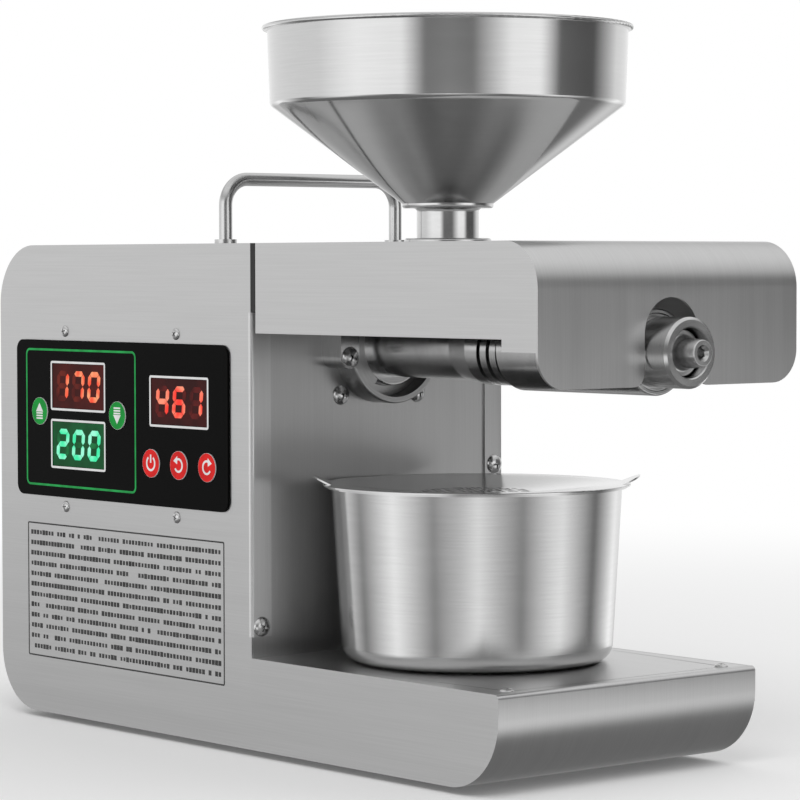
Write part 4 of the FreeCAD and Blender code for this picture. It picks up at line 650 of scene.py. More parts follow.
def finished_mesh(shape: bmesh.types.BMesh, name: str) -> bpy.types.Mesh:
    """Close a shape, turn its faces outwards and store it.

    Args:
        shape: Shape to store, which is freed.
        name: Name of the mesh.

    Returns:
        The new mesh.
    """
    bmesh.ops.remove_doubles(shape, verts=shape.verts, dist=1e-7)
    bmesh.ops.recalc_face_normals(shape, faces=shape.faces)
    mesh = bpy.data.meshes.new(name)
    shape.to_mesh(mesh)
    shape.free()
    return mesh


Outline = list[tuple[float, float]]


def rounded(half_u: float, half_v: float, radius: float, steps: int = 6) -> Outline:
    """Outline of a rectangle with round corners about the origin.

    Args:
        half_u: Half of its width.
        half_v: Half of its height.
        radius: Radius of its corners.
        steps: Runs in each corner.

    Returns:
        Points in order.
    """
    points = []
    for turn, (su, sv) in enumerate(((1, 1), (-1, 1), (-1, -1), (1, -1))):
        for step in range(steps + 1):
            angle = (turn + step / steps) * math.pi / 2.0
            points.append((su * (half_u - radius) + radius * math.cos(angle),
                           sv * (half_v - radius) + radius * math.sin(angle)))
    return points


def disc(radius: float, steps: int = 40) -> Outline:
    """Outline of a circle about the origin."""
    return [(radius * math.cos(2 * math.pi * step / steps), radius * math.sin(2 * math.pi * step / steps))
            for step in range(steps)]


def arc_band(radius: float, half: float, start: float, end: float, steps: int = 24) -> Outline:
    """Outline of a band along an arc.

    Args:
        radius: Radius of its middle line.
        half: Half of its width.
        start: First angle in degrees.
        end: Last angle in degrees.
        steps: Runs along it.

    Returns:
        Points in order.
    """
    angles = [math.radians(start + (end - start) * step / steps) for step in range(steps + 1)]
    outer = [((radius + half) * math.cos(a), (radius + half) * math.sin(a)) for a in angles]
    inner = [((radius - half) * math.cos(a), (radius - half) * math.sin(a)) for a in reversed(angles)]
    return outer + inner


class PanelFace:
    """Flat mark maker for the machine's left side, seen with its front to the right."""

    def __init__(self, outside: float) -> None:
        """Set the surface that marks lie on.

        Args:
            outside: X of the surface.
        """
        self.outside = outside

    def point(self, reach: float, height: float, proud: float) -> Vector:
        """Point above the surface, reach growing towards the machine's front."""
        return Vector((self.outside - proud, -reach, height))

    def plate(self, shape: bmesh.types.BMesh, outline: Outline, place: tuple[float, float],
              proud: float, sunk: float = 0.00005) -> None:
        """Add a closed flat plate.

        Args:
            shape: Shape to add to.
            outline: Its outline.
            place: Reach and height of the outline's origin.
            proud: How far it stands above the surface.
            sunk: How far it goes in.
        """
        rings = []
        for level in (proud, -sunk):
            rings.append([shape.verts.new(self.point(place[0] + u, place[1] + v, level))
                          for u, v in outline])
        shape.faces.new(rings[0])
        shape.faces.new(list(reversed(rings[1])))
        for index in range(len(outline)):
            after = (index + 1) % len(outline)
            shape.faces.new((rings[0][index], rings[1][index], rings[1][after], rings[0][after]))

    def frame(self, shape: bmesh.types.BMesh, outer: Outline, inner: Outline,
              place: tuple[float, float], proud: float, sunk: float = 0.00005) -> None:
        """Add a closed flat frame between two outlines with as many points.

        Args:
            shape: Shape to add to.
            outer: Outline of its outside.
            inner: Outline of its opening.
            place: Reach and height of the outlines' origin.
            proud: How far it stands above the surface.
            sunk: How far it goes in.
        """
        rings = [[shape.verts.new(self.point(place[0] + u, place[1] + v, level)) for u, v in line]
                 for level in (proud, -sunk) for line in (outer, inner)]
        count = len(outer)
        for index in range(count):
            after = (index + 1) % count
            for first, second in ((0, 1), (1, 3), (3, 2), (2, 0)):
                shape.faces.new((rings[first][index], rings[first][after],
                                 rings[second][after], rings[second][index]))


def dress(piece: bpy.types.Object, material: bpy.types.Material, body: str) -> bpy.types.Object:
    """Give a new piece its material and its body.

    Args:
        piece: Piece to dress.
        material: Its material.
        body: Name of the body that it rides on.

    Returns:
        The piece.
    """
    piece.data.materials.clear()
    piece.data.materials.append(material)
    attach(piece, body)
    log.info("%s: %d faces on %s", piece.name, len(piece.data.polygons), body)
    return piece


def printed_piece(name: str, shape: bmesh.types.BMesh, material: bpy.types.Material, body: str) -> bpy.types.Object:
    """Turn a finished shape into a dressed piece.

    Args:
        name: Name of the piece.
        shape: Its shape, which is freed.
        material: Its material.
        body: Name of the body that it rides on.

    Returns:
        The piece.
    """
    return dress(new_object(name, finished_mesh(shape, name)), material, body)


def grown(name: str, seeds: bpy.types.Mesh, tree: bpy.types.NodeTree, values: dict) -> bpy.types.Object:
    """Run a Geometry Nodes tree on a mesh and keep the result as a plain mesh.

    Args:
        name: Name of the piece.
        seeds: Mesh that the tree starts from.
        tree: The tree.
        values: Value of each named input.

    Returns:
        The new piece at the origin.
    """
    piece = new_object(name, seeds)
    grow = piece.modifiers.new("grow", "NODES")
    grow.node_group = tree
    for item in tree.interface.items_tree:
        if item.item_type == "SOCKET" and item.in_out == "INPUT" and item.name in values:
            grow[item.identifier] = values[item.name]
    bpy.context.view_layer.update()
    evaluated = piece.evaluated_get(bpy.context.evaluated_depsgraph_get())
    result = bpy.data.meshes.new_from_object(evaluated)
    piece.modifiers.clear()
    piece.data = result
    return piece


# ---- screws -------------------------------------------------------------------------------------
@dataclass(frozen=True)
class ScrewRow:
    """One set of equal pan-head screws.

    Attributes:
        node: CAD node that they stand for.
        facing: Direction in which their heads look.
    """

    node: str
    facing: Vector


@dataclass
class Screws:
    """Pan-head screws with cross recesses.

    Attributes:
        rows: Sets of equal screws.
        seed: Seed for the turn of each cross.
        recess: Depth of the cross as a share of the head's height.
        crown: Width of the head's crown as a share of its radius.
    """

    rows: tuple[ScrewRow, ...] = (
        ScrewRow("seat_screws", -Y_AXIS),
        ScrewRow("post_screws", -Y_AXIS),
        ScrewRow("flange_screws", -Y_AXIS),
        ScrewRow("panel_screws", -X_AXIS),
        ScrewRow("tray_screws", Z_AXIS),
    )
    seed: int = 7
    recess: float = 0.62
    crown: float = 1.16

    def tree(self) -> bpy.types.NodeTree:
        """Build the tree that sets a screw on every seed point.

        Returns:
            Geometry Nodes tree.
        """
        graph = group_tree("pan_screws", "GeometryNodeTree", [
            ("Seeds", GEOMETRY, None), ("Head Radius", FLOAT, 0.003), ("Head Height", FLOAT, 0.002),
            ("Shank Radius", FLOAT, 0.002), ("Shank Length", FLOAT, 0.006), ("Turn", VECTOR, None),
            ("Seed", INTEGER, 0), ("Metal", MATERIAL, None)], [("Screws", GEOMETRY)])
        source = graph.source
        radius, height = source["Head Radius"], source["Head Height"]
        wall = graph.node("GeometryNodeMeshCylinder", {
            "Vertices": 40, "Side Segments": 1, "Fill Segments": 1, "Radius": radius,
            "Depth": graph.math("MULTIPLY", height, 2.0)}).outputs["Mesh"]
        dome = graph.node("GeometryNodeMeshUVSphere", {"Segments": 40, "Rings": 24, "Radius": 1.0})
        wide = graph.math("MULTIPLY", radius, self.crown)
        dome = graph.node("GeometryNodeTransform", {
            "Geometry": dome.outputs["Mesh"], "Scale": graph.combine(wide, wide, height)}).outputs[0]
        head = graph.node("GeometryNodeMeshBoolean", {"Mesh 2": [wall, dome]}, operation="INTERSECT")
        upper = graph.node("GeometryNodeMeshCube", {"Size": graph.combine(
            graph.math("MULTIPLY", radius, 3.0), graph.math("MULTIPLY", radius, 3.0), height)})
        upper = graph.node("GeometryNodeTransform", {
            "Geometry": upper.outputs["Mesh"],
            "Translation": graph.combine(0.0, 0.0, graph.math("MULTIPLY", height, -0.5))}).outputs[0]
        blades = []
        for long_axis in (0, 1):
            size = [graph.math("MULTIPLY", radius, 0.25), graph.math("MULTIPLY", radius, 0.25),
                    graph.math("MULTIPLY", height, 2.0 * self.recess)]
            size[long_axis] = graph.math("MULTIPLY", radius, 1.2)
            blade = graph.node("GeometryNodeMeshCube", {"Size": graph.combine(*size)}).outputs["Mesh"]
            blades.append(graph.node("GeometryNodeTransform", {
                "Geometry": blade, "Translation": graph.combine(0.0, 0.0, height)}).outputs[0])
        cut = graph.node("GeometryNodeMeshBoolean", {
            "Mesh 1": head.outputs[0], "Mesh 2": [upper, *blades]}, operation="DIFFERENCE")
        length = graph.math("ADD", source["Shank Length"], graph.math("MULTIPLY", height, 0.2))
        shank = graph.node("GeometryNodeMeshCylinder", {
            "Vertices": 24, "Side Segments": 1, "Fill Segments": 1,
            "Radius": source["Shank Radius"], "Depth": length}).outputs["Mesh"]
        middle = graph.math("SUBTRACT", graph.math("MULTIPLY", height, 0.2),
                            graph.math("MULTIPLY", length, 0.5))
        shank = graph.node("GeometryNodeTransform", {
            "Geometry": shank, "Translation": graph.combine(0.0, 0.0, middle)}).outputs[0]
        screw = graph.node("GeometryNodeJoinGeometry", {0: [cut.outputs[0], shank]}).outputs[0]
        spin = graph.random("FLOAT", {"Max": 1.57, "Seed": source["Seed"]})
        placed = graph.node("GeometryNodeInstanceOnPoints", {
            "Points": source["Seeds"], "Instance": screw, "Rotation": source["Turn"]}).outputs[0]
        placed = graph.node("GeometryNodeRotateInstances", {
            "Instances": placed, "Rotation": graph.combine(0.0, 0.0, spin), "Local Space": True}).outputs[0]
        real = graph.node("GeometryNodeRealizeInstances", {0: placed}).outputs[0]
        smooth = soft_shading(graph, real, 35.0)
        done = graph.node("GeometryNodeSetMaterial", {"Geometry": smooth, "Material": source["Metal"]})
        graph.feed(graph.sink["Screws"], done.outputs[0])
        return graph.tree

    def seat(self, row: ScrewRow) -> tuple[bpy.types.Mesh, dict]:
        """Read where a row of screws sits and how large they are.

        Args:
            row: Row to read.

        Returns:
            Mesh with one point under each head, and the sizes for the tree.
        """
        seats = []
        sizes: dict[str, float] = {}
        for points in loose_parts(row.node):
            low, high = limits(points)
            middle = (low + high) / 2.0
            depths = [(point - middle).dot(row.facing) for point in points]
            spreads = [((point - middle) - row.facing * depth).length
                       for point, depth in zip(points, depths)]
            head = max(spreads)
            under = min(depth for depth, spread in zip(depths, spreads) if spread > 0.97 * head)
            shank = max(spread for depth, spread in zip(depths, spreads)
                        if depth < min(depths) + 0.5 * MM)
            seats.append(middle + row.facing * under)
            sizes = {"Head Radius": head, "Head Height": max(depths) - under,
                     "Shank Radius": shank, "Shank Length": under - min(depths)}
        mesh = bpy.data.meshes.new(row.node + "_seats")
        mesh.from_pydata([tuple(seat) for seat in seats], [], [])
        return mesh, sizes

    def build(self, metal: bpy.types.Material) -> None:
        """Set every row.

        Args:
            metal: Material of the screws.
        """
        tree = self.tree()
        for row in self.rows:
            seeds, sizes = self.seat(row)
            turn = Z_AXIS.rotation_difference(row.facing).to_euler()
            piece = grown("cross_" + row.node, seeds, tree, {
                **sizes, "Turn": tuple(turn), "Seed": self.seed, "Metal": metal})
            dress(piece, metal, Body.HOUSING.value)
            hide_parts(row.node)


def soft_shading(graph: Graph, geometry: Socket, angle: float) -> Socket:
    """Shade faces smoothly and keep edges sharp that are bent further than an angle.

    Args:
        graph: Graph to write in.
        geometry: Geometry to shade.
        angle: Smallest bend of a sharp edge, in degrees.

    Returns:
        Shaded geometry.
    """
    bend = graph.node("GeometryNodeInputMeshEdgeAngle").outputs["Unsigned Angle"]
    sharp = graph.node("FunctionNodeCompare", {0: bend, 1: math.radians(angle)},
                       data_type="FLOAT", operation="GREATER_THAN").outputs[0]
    smooth = graph.node("GeometryNodeSetShadeSmooth", {"Geometry": geometry, "Shade Smooth": True},
                        domain="FACE").outputs[0]
    return graph.node("GeometryNodeSetShadeSmooth", {
        "Geometry": smooth, "Selection": sharp, "Shade Smooth": False}, domain="EDGE").outputs[0]


# ---- strainer -----------------------------------------------------------------------------------
@dataclass
class Strainer:
    """Strainer dish with its field of fine holes.

    Attributes:
        pitch: Distance from hole to hole.
        hole: Radius of a hole.
        field_radius: Radius of the field.
    """

    pitch: float = 0.0032
    hole: float = 0.0010
    field_radius: float = 0.0245

    def tree(self) -> bpy.types.NodeTree:
        """Build the tree that drills the field.

        Returns:
            Geometry Nodes tree.
        """
        graph = group_tree("drilled_field", "GeometryNodeTree", [
            ("Dish", GEOMETRY, None), ("Centre", VECTOR, None), ("Pitch", FLOAT, 0.003),
            ("Hole Radius", FLOAT, 0.001), ("Field Radius", FLOAT, 0.02), ("Depth", FLOAT, 0.004),
            ("Steel", MATERIAL, None)], [("Dish", GEOMETRY)])
        source = graph.source
        count = 2 * int(self.field_radius / self.pitch / 0.8) + 3
        width = graph.math("MULTIPLY", source["Pitch"], float(count - 1))
        depth = graph.math("MULTIPLY", width, math.sqrt(3.0) / 2.0)
        grid = graph.node("GeometryNodeMeshGrid", {
            "Size X": width, "Size Y": depth, "Vertices X": count, "Vertices Y": count}).outputs["Mesh"]
        index = graph.node("GeometryNodeInputIndex").outputs[0]
        row = graph.math("MODULO", index, float(count))
        odd = graph.math("MODULO", row, 2.0)
        shift = graph.combine(graph.math("MULTIPLY", graph.math("MULTIPLY", odd, 0.5), source["Pitch"]),
                              0.0, 0.0)
        grid = graph.node("GeometryNodeSetPosition", {"Geometry": grid, "Offset": shift}).outputs[0]
        away = graph.vector("LENGTH", graph.node("GeometryNodeInputPosition").outputs[0], output="Value")
        outside = graph.node("FunctionNodeCompare", {0: away, 1: source["Field Radius"]},
                             data_type="FLOAT", operation="GREATER_THAN").outputs[0]
        grid = graph.node("GeometryNodeDeleteGeometry", {"Geometry": grid, "Selection": outside},
                          domain="POINT").outputs[0]
        grid = graph.node("GeometryNodeTransform", {
            "Geometry": grid, "Translation": source["Centre"]}).outputs[0]
        punch = graph.node("GeometryNodeMeshCylinder", {
            "Vertices": 10, "Side Segments": 1, "Fill Segments": 1, "Radius": source["Hole Radius"],
            "Depth": source["Depth"]}).outputs["Mesh"]
        punches = graph.node("GeometryNodeInstanceOnPoints", {"Points": grid, "Instance": punch}).outputs[0]
        punches = graph.node("GeometryNodeRealizeInstances", {0: punches}).outputs[0]
        drilled = graph.node("GeometryNodeMeshBoolean", {
            "Mesh 1": source["Dish"], "Mesh 2": [punches]}, operation="DIFFERENCE").outputs[0]
        smooth = soft_shading(graph, drilled, 32.0)
        done = graph.node("GeometryNodeSetMaterial", {"Geometry": smooth, "Material": source["Steel"]})
        graph.feed(graph.sink["Dish"], done.outputs[0])
        return graph.tree

    def build(self, steel: bpy.types.Material, centre: Vector) -> None:
        """Drill a copy of the dish.

        Args:
            steel: Its material.
            centre: Point on the dish's axis.
        """
        low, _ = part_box("strainer_dish")
        shape = bmesh.new()
        shape.from_mesh(bpy.data.objects["strainer_dish"].data)
        bmesh.ops.remove_doubles(shape, verts=shape.verts, dist=1e-6)
        mesh = bpy.data.meshes.new("strainer_blank")
        shape.to_mesh(mesh)
        shape.free()
        for name in ("custom_normal", "sharp_edge", "sharp_face"):
            if name in mesh.attributes:
                mesh.attributes.remove(mesh.attributes[name])
        piece = grown("drilled_strainer", mesh, self.tree(), {
            "Centre": (centre.x, centre.y, low.z), "Pitch": self.pitch, "Hole Radius": self.hole,
            "Field Radius": self.field_radius, "Depth": 0.004, "Steel": steel})
        dress(piece, steel, Body.STRAINER.value)
        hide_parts("strainer_dish")


# ---- control panel ------------------------------------------------------------------------------
SEGMENTS = {
    "top": (0.0, 1.0, "level"), "middle": (0.0, 0.0, "level"), "foot": (0.0, -1.0, "level"),
    "upper_left": (-1.0, 0.5, "upright"), "upper_right": (1.0, 0.5, "upright"),
    "lower_left": (-1.0, -0.5, "upright"), "lower_right": (1.0, -0.5, "upright"),
}
LIT_SEGMENTS = {
    "0": ("top", "foot", "upper_left", "upper_right", "lower_left", "lower_right"),
    "1": ("upper_right", "lower_right"),
    "2": ("top", "middle", "foot", "upper_right", "lower_left"),
    "4": ("middle", "upper_left", "upper_right", "lower_right"),
    "6": ("top", "middle", "foot", "upper_left", "lower_left", "lower_right"),
    "7": ("top", "upper_right", "lower_right"),
}


class Sign(Enum):
    """Symbols on the keys."""

    UP = "arrow up"
    DOWN = "arrow down"
    POWER = "broken ring with a bar"
    TURN_LEFT = "ring arrow to the left"
    TURN_RIGHT = "ring arrow to the right"


@dataclass(frozen=True)
class Readout:
    """One numeral display.

    Attributes:
        name: Name of the display.
        number: Digits that it shows.
        lit: Linear colour of lit segments.
        core: Linear colour of their hot patches.
        ground: Linear colour of the window behind them, shown as a painted glow.
        unlit_painted_glow: Linear colour of segments that are off, shown as a painted glow.
    """

    name: str
    number: str
    lit: Colour
    core: Colour
    ground: Colour
    unlit_painted_glow: Colour


@dataclass(frozen=True)
class KeySign:
    """Printed cap of one key.

    Attributes:
        node: CAD node of the key.
        sign: Symbol on it.
        field: Linear colour of its disc, shown as a painted glow.
    """

    node: str
    sign: Sign
    field: Colour


RED_READOUT = Readout("current_value", "170", linear(255, 84, 56), linear(255, 168, 120),
                      linear(72, 12, 8), linear(104, 30, 18))
GREEN_READOUT = Readout("set_value", "200", linear(60, 240, 170), linear(160, 255, 220),
                        linear(10, 84, 42), linear(18, 118, 62))
TIMER_READOUT = Readout("time_left", "461", linear(255, 60, 48), linear(255, 150, 120),
                        linear(58, 8, 8), linear(92, 20, 18))
# Colours of the key caps, shown as a painted glow.
GREEN_CAP_PAINTED_GLOW = linear(16, 146, 56)
RED_CAP_PAINTED_GLOW = linear(214, 30, 28)


@dataclass
class ControlPanel:
    """Printed marks, numerals and key caps on the left side, the printed marks and caps with a painted glow.

    Attributes:
        digit_height: Height of a numeral.
        digit_width: Width of a numeral.
        digit_pitch: Distance from numeral to numeral.
        stroke: Width of a segment.
        slant: Lean of the numerals in degrees.
        line: Width of a printed line.
        corner: Corner radius of the printed outlines.
        print_proud: How far a print stands above its surface.
        readouts: Displays from the rear foot up.
        keys: Caps of the keys.
    """

    digit_height: float = 14.2 * MM
    digit_width: float = 9.8 * MM
    digit_pitch: float = 12.7 * MM
    stroke: float = 2.5 * MM
    slant: float = 6.0
    line: float = 1.0 * MM
    corner: float = 3.0 * MM
    print_proud: float = 0.06 * MM
    readouts: tuple[Readout, ...] = (GREEN_READOUT, RED_READOUT, TIMER_READOUT)
    keys: tuple[KeySign, ...] = (
        KeySign("key_warmer", Sign.UP, GREEN_CAP_PAINTED_GLOW),
        KeySign("key_cooler", Sign.DOWN, GREEN_CAP_PAINTED_GLOW),
        KeySign("key_power", Sign.POWER, RED_CAP_PAINTED_GLOW),
        KeySign("key_press_stop", Sign.TURN_LEFT, RED_CAP_PAINTED_GLOW),
        KeySign("key_clear", Sign.TURN_RIGHT, RED_CAP_PAINTED_GLOW),
    )
    # Materials of the printed marks, each with a painted glow in the colour of the print.
    printed: dict[str, bpy.types.Material] = field(default_factory=dict)

    def build(self) -> None:
        """Make every mark of the panel."""
        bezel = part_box("panel_bezel")[0]
        # The printed marks glow in their own colour: a painted glow, not light from the lamps.
        self.printed = {
            "white": LampAndPaintedGlow("print_white_painted_glow", grey(0.80), grey(0.72), 0.9).material(),
            "green": LampAndPaintedGlow("print_green_painted_glow", linear(34, 158, 78), linear(28, 136, 66), 1.0).material(),
            "ink": LampAndPaintedGlow("print_ink_painted_glow", grey(0.035), grey(0.05), 1.0).material(),
        }
        windows = sorted((limits(points) for points in loose_parts("led_displays")),
                         key=lambda pair: (pair[0].y < 0.08, pair[0].z))
        for readout, window in zip(self.readouts, windows):
            self._readout(readout, window)
        self._frames(PanelFace(bezel.x), windows)
        for key in self.keys:
            self._cap(key)

    def _readout(self, readout: Readout, window: tuple[Vector, Vector]) -> None:
        """Make the tinted window and the numerals of one display; the window and the segments that are off get a
        painted glow.

        Args:
            readout: What it shows.
            window: Lowest and highest corner of its block.
        """
        low, high = window
        face = PanelFace(low.x)
        place = (-(low.y + high.y) / 2.0, (low.z + high.z) / 2.0)
        shape = bmesh.new()
        outline = rounded((high.y - low.y) / 2.0, (high.z - low.z) / 2.0, 0.4 * MM)
        face.plate(shape, outline, place, 0.04 * MM)
        # The tinted window gets a painted glow in its own colour.
        tint = LampAndPaintedGlow(readout.name + "_tint", readout.ground, toned(readout.ground, 0.6), 1.0, 90.0)
        printed_piece(readout.name + "_window", shape, tint.material(), Body.HOUSING.value)
        # Lit segments are the display's lamps; segments that are off get a painted glow.
        for lit in (True, False):
            shape = bmesh.new()
            for index, numeral in enumerate(readout.number):
                middle = place[0] + (index - 1) * self.digit_pitch
                for name, segment in SEGMENTS.items():
                    if (name in LIT_SEGMENTS[numeral]) is lit:
                        face.plate(shape, self._segment(segment), (middle, place[1]), 0.09 * MM)
            label = readout.name + ("_numerals" if lit else "_idle")
            colours = (readout.core, readout.lit) if lit else (readout.unlit_painted_glow, readout.ground)
            printed_piece(label, shape, LampAndPaintedGlow(label, *colours).material(), Body.HOUSING.value)

    def _segment(self, segment: tuple[float, float, str]) -> Outline:
        """Outline of one segment of a numeral.

        Args:
            segment: Its place in half widths and half heights, and its direction.

        Returns:
            Six-cornered outline, leaning as the numerals do.
        """
        side, level, way = segment
        half = self.stroke / 2.0
        mid_u = side * (self.digit_width / 2.0 - half)
        mid_v = level * (self.digit_height / 2.0 - half)
        reach = (self.digit_width / 2.0 - half if way == "level" else self.digit_height / 4.0 - half / 2.0)
        reach -= 0.15 * MM
        shape = [(-reach, 0.0), (half - reach, -half), (reach - half, -half), (reach, 0.0),
                 (reach - half, half), (half - reach, half)]
        if way == "upright":
            shape = [(-v, u) for u, v in shape]
        lean = math.tan(math.radians(self.slant))
        return [(mid_u + u + (mid_v + v) * lean, mid_v + v) for u, v in shape]

    def _frames(self, face: PanelFace, windows: list[tuple[Vector, Vector]]) -> None:
        """Print the frames round the windows and the outline round the heat controls.

        Args:
            face: Front of the panel.
            windows: Corners of the display blocks.
        """
        shape = bmesh.new()
        for low, high in windows:
            half_u = (high.y - low.y) / 2.0 + 0.2 * MM
            half_v = (high.z - low.z) / 2.0 + 0.2 * MM
            place = (-(low.y + high.y) / 2.0, (low.z + high.z) / 2.0)
            face.frame(shape, rounded(half_u + self.line, half_v + self.line, 1.2 * MM),
                       rounded(half_u, half_v, 0.4 * MM), place, self.print_proud)
        printed_piece("window_frames", shape, self.printed["white"], Body.HOUSING.value)
        bezel_low, bezel_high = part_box("panel_bezel")
        rear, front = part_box("key_warmer"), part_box("key_cooler")
        left = -(rear[1].y + 4.2 * MM)
        right = -(front[0].y - 7.0 * MM)
        foot, head = bezel_low.z + 4.7 * MM, bezel_high.z - 4.0 * MM
        shape = bmesh.new()
        half_u, half_v = (right - left) / 2.0, (head - foot) / 2.0
        face.frame(shape, rounded(half_u, half_v, self.corner),
                   rounded(half_u - self.line, half_v - self.line, self.corner - self.line),
                   ((left + right) / 2.0, (foot + head) / 2.0), self.print_proud)
        printed_piece("heat_outline", shape, self.printed["green"], Body.HOUSING.value)

    def _cap(self, key: KeySign) -> None:
        """Print the disc and the symbol of one key, both with a painted glow.

        Args:
            key: Key to print.
        """
        low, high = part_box(key.node)
        front = [v.co for v in bpy.data.objects[key.node].data.vertices if v.co.x < low.x + 0.1 * MM]
        place = (-(low.y + high.y) / 2.0, (low.z + high.z) / 2.0)
        radius = max(math.hypot(co.y + place[0], co.z - place[1]) for co in front)
        face = PanelFace(low.x)
        shape = bmesh.new()
        face.plate(shape, disc(radius - 0.1 * MM), place, 0.04 * MM)
        # The disc glows in the key's colour: a painted glow.
        paint = LampAndPaintedGlow(key.node + "_paint", key.field, toned(key.field, 0.8))
        printed_piece(key.node + "_disc", shape, paint.material(), key.node + "_body")
        shape = bmesh.new()
        for outline in sign_outlines(key.sign, radius):
            face.plate(shape, outline, place, 0.09 * MM)
        printed_piece(key.node + "_sign", shape, self.printed["white"], key.node + "_body")


def sign_outlines(sign: Sign, radius: float) -> list[Outline]:
    """Outlines of a key's symbol.

    Args:
        sign: Which symbol.
        radius: Radius of the key's disc.

    Returns:
        Outlines about the key's centre.
    """
    unit = radius / 10.0
    half = 0.75 * unit
    if sign in (Sign.UP, Sign.DOWN):
        way = 1.0 if sign is Sign.UP else -1.0
        outlines = [[(-4.6 * unit, way * -0.4 * unit), (4.6 * unit, way * -0.4 * unit),
                     (0.0, way * 6.0 * unit)]]
        width = 4.0 * unit
        for step in range(3):
            low = -2.0 - 1.9 * step
            near, far = way * low * unit, way * (low + 1.1) * unit
            outlines.append([(-width, near), (width, near), (width, far), (-width, far)])
        return outlines
    if sign is Sign.POWER:
        bar = [(-half, 0.4 * unit), (half, 0.4 * unit), (half, 6.2 * unit), (-half, 6.2 * unit)]
        return [arc_band(4.8 * unit, half, 125.0, 415.0), bar]
    mirror = 1.0 if sign is Sign.TURN_LEFT else -1.0
    ring = [(mirror * u, v) for u, v in arc_band(4.4 * unit, half, -150.0, 130.0)]
    tip = math.radians(130.0)
    middle = (mirror * 4.4 * unit * math.cos(tip), 4.4 * unit * math.sin(tip))
    head = [(middle[0] + mirror * 1.6 * unit, middle[1] + 3.2 * unit),
            (middle[0] - mirror * 3.0 * unit, middle[1] - 0.4 * unit),
            (middle[0] + mirror * 1.4 * unit, middle[1] - 2.6 * unit)]
    return [ring, head]


@dataclass
class NoticePlate:
    """Outlined notice under the panel, with rows of plain bars in place of words.

    Attributes:
        rows: Number of rows.
        bars: Most bars in a row.
        bar_height: Height of a bar.
        line: Width of the outline.
        margin: Room between the outline and the bars.
        seed: Seed for the lengths of the bars.
    """

    rows: int = 12
    bars: int = 62
    bar_height: float = 2.3 * MM
    line: float = 0.7 * MM
    margin: float = 3.6 * MM
    seed: int = 11

    def tree(self) -> bpy.types.NodeTree:
        """Build the tree that lays the bars.

        Returns:
            Geometry Nodes tree.
        """
        graph = group_tree("notice_rows", "GeometryNodeTree", [
            ("Corner", GEOMETRY, None), ("Width", FLOAT, 0.14), ("Height", FLOAT, 0.06),
            ("Rows", INTEGER, 12), ("Bars", INTEGER, 40), ("Bar Height", FLOAT, 0.002),
            ("Thickness", FLOAT, 0.0001), ("Seed", INTEGER, 0), ("Ink", MATERIAL, None)],
            [("Rows", GEOMETRY)])
        source = graph.source
        grid = graph.node("GeometryNodeMeshGrid", {
            "Size X": source["Width"], "Size Y": source["Height"], "Vertices X": source["Bars"],
            "Vertices Y": source["Rows"]}).outputs["Mesh"]
        grid = graph.node("GeometryNodeTransform", {
            "Geometry": grid, "Rotation": (math.pi / 2.0, 0.0, -math.pi / 2.0)}).outputs[0]
        gap = graph.random("BOOLEAN", {"Probability": 0.1, "Seed": source["Seed"]})
        grid = graph.node("GeometryNodeDeleteGeometry", {"Geometry": grid, "Selection": gap},
                          domain="POINT").outputs[0]
        pitch = graph.math("DIVIDE", source["Width"], source["Bars"])
        share = graph.random("FLOAT", {"Min": 0.55, "Max": 0.90, "Seed": source["Seed"]})
        tall = graph.random("FLOAT", {"Min": 0.75, "Max": 1.0, "Seed": source["Seed"]})
        bar = graph.node("GeometryNodeMeshCube", {"Size": (1.0, 1.0, 1.0)}).outputs["Mesh"]
        size = graph.combine(source["Thickness"], graph.math("MULTIPLY", pitch, share),
                             graph.math("MULTIPLY", source["Bar Height"], tall))
        laid = graph.node("GeometryNodeInstanceOnPoints", {
            "Points": grid, "Instance": bar, "Scale": size}).outputs[0]
        placed = graph.node("GeometryNodeInstanceOnPoints", {
            "Points": source["Corner"], "Instance": laid}).outputs[0]
        real = graph.node("GeometryNodeRealizeInstances", {0: placed}).outputs[0]
        done = graph.node("GeometryNodeSetMaterial", {"Geometry": real, "Material": source["Ink"]})
        graph.feed(graph.sink["Rows"], done.outputs[0])
        return graph.tree

    def build(self, ink: bpy.types.Material) -> None:
        """Print the notice.

        Args:
            ink: Its material, a dark print with a faint painted glow.
        """
        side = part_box("side_panel_left")[0]
        bezel_low, bezel_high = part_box("panel_bezel")
        rear, front = -(bezel_high.y - 7.1 * MM), -(bezel_low.y + 4.1 * MM)
        foot, head = side.z + 26.0 * MM, bezel_low.z - 13.0 * MM
        place = ((rear + front) / 2.0, (foot + head) / 2.0)
        face = PanelFace(side.x)
        shape = bmesh.new()
        half_u, half_v = (front - rear) / 2.0, (head - foot) / 2.0
        face.frame(shape, rounded(half_u, half_v, 1.0 * MM),
                   rounded(half_u - self.line, half_v - self.line, 0.5 * MM), place, 0.06 * MM)
        printed_piece("notice_outline", shape, ink, Body.HOUSING.value)
        seeds = bpy.data.meshes.new("notice_corner")
        seeds.from_pydata([tuple(face.point(place[0], place[1], 0.0))], [], [])
        piece = grown("notice_bars", seeds, self.tree(), {
            "Width": 2.0 * (half_u - self.margin),
            "Height": 2.0 * (half_v - self.margin - self.bar_height / 2.0),
            "Rows": self.rows, "Bars": self.bars, "Bar Height": self.bar_height, "Thickness": 0.1 * MM,
            "Seed": self.seed, "Ink": ink})
        dress(piece, ink, Body.HOUSING.value)


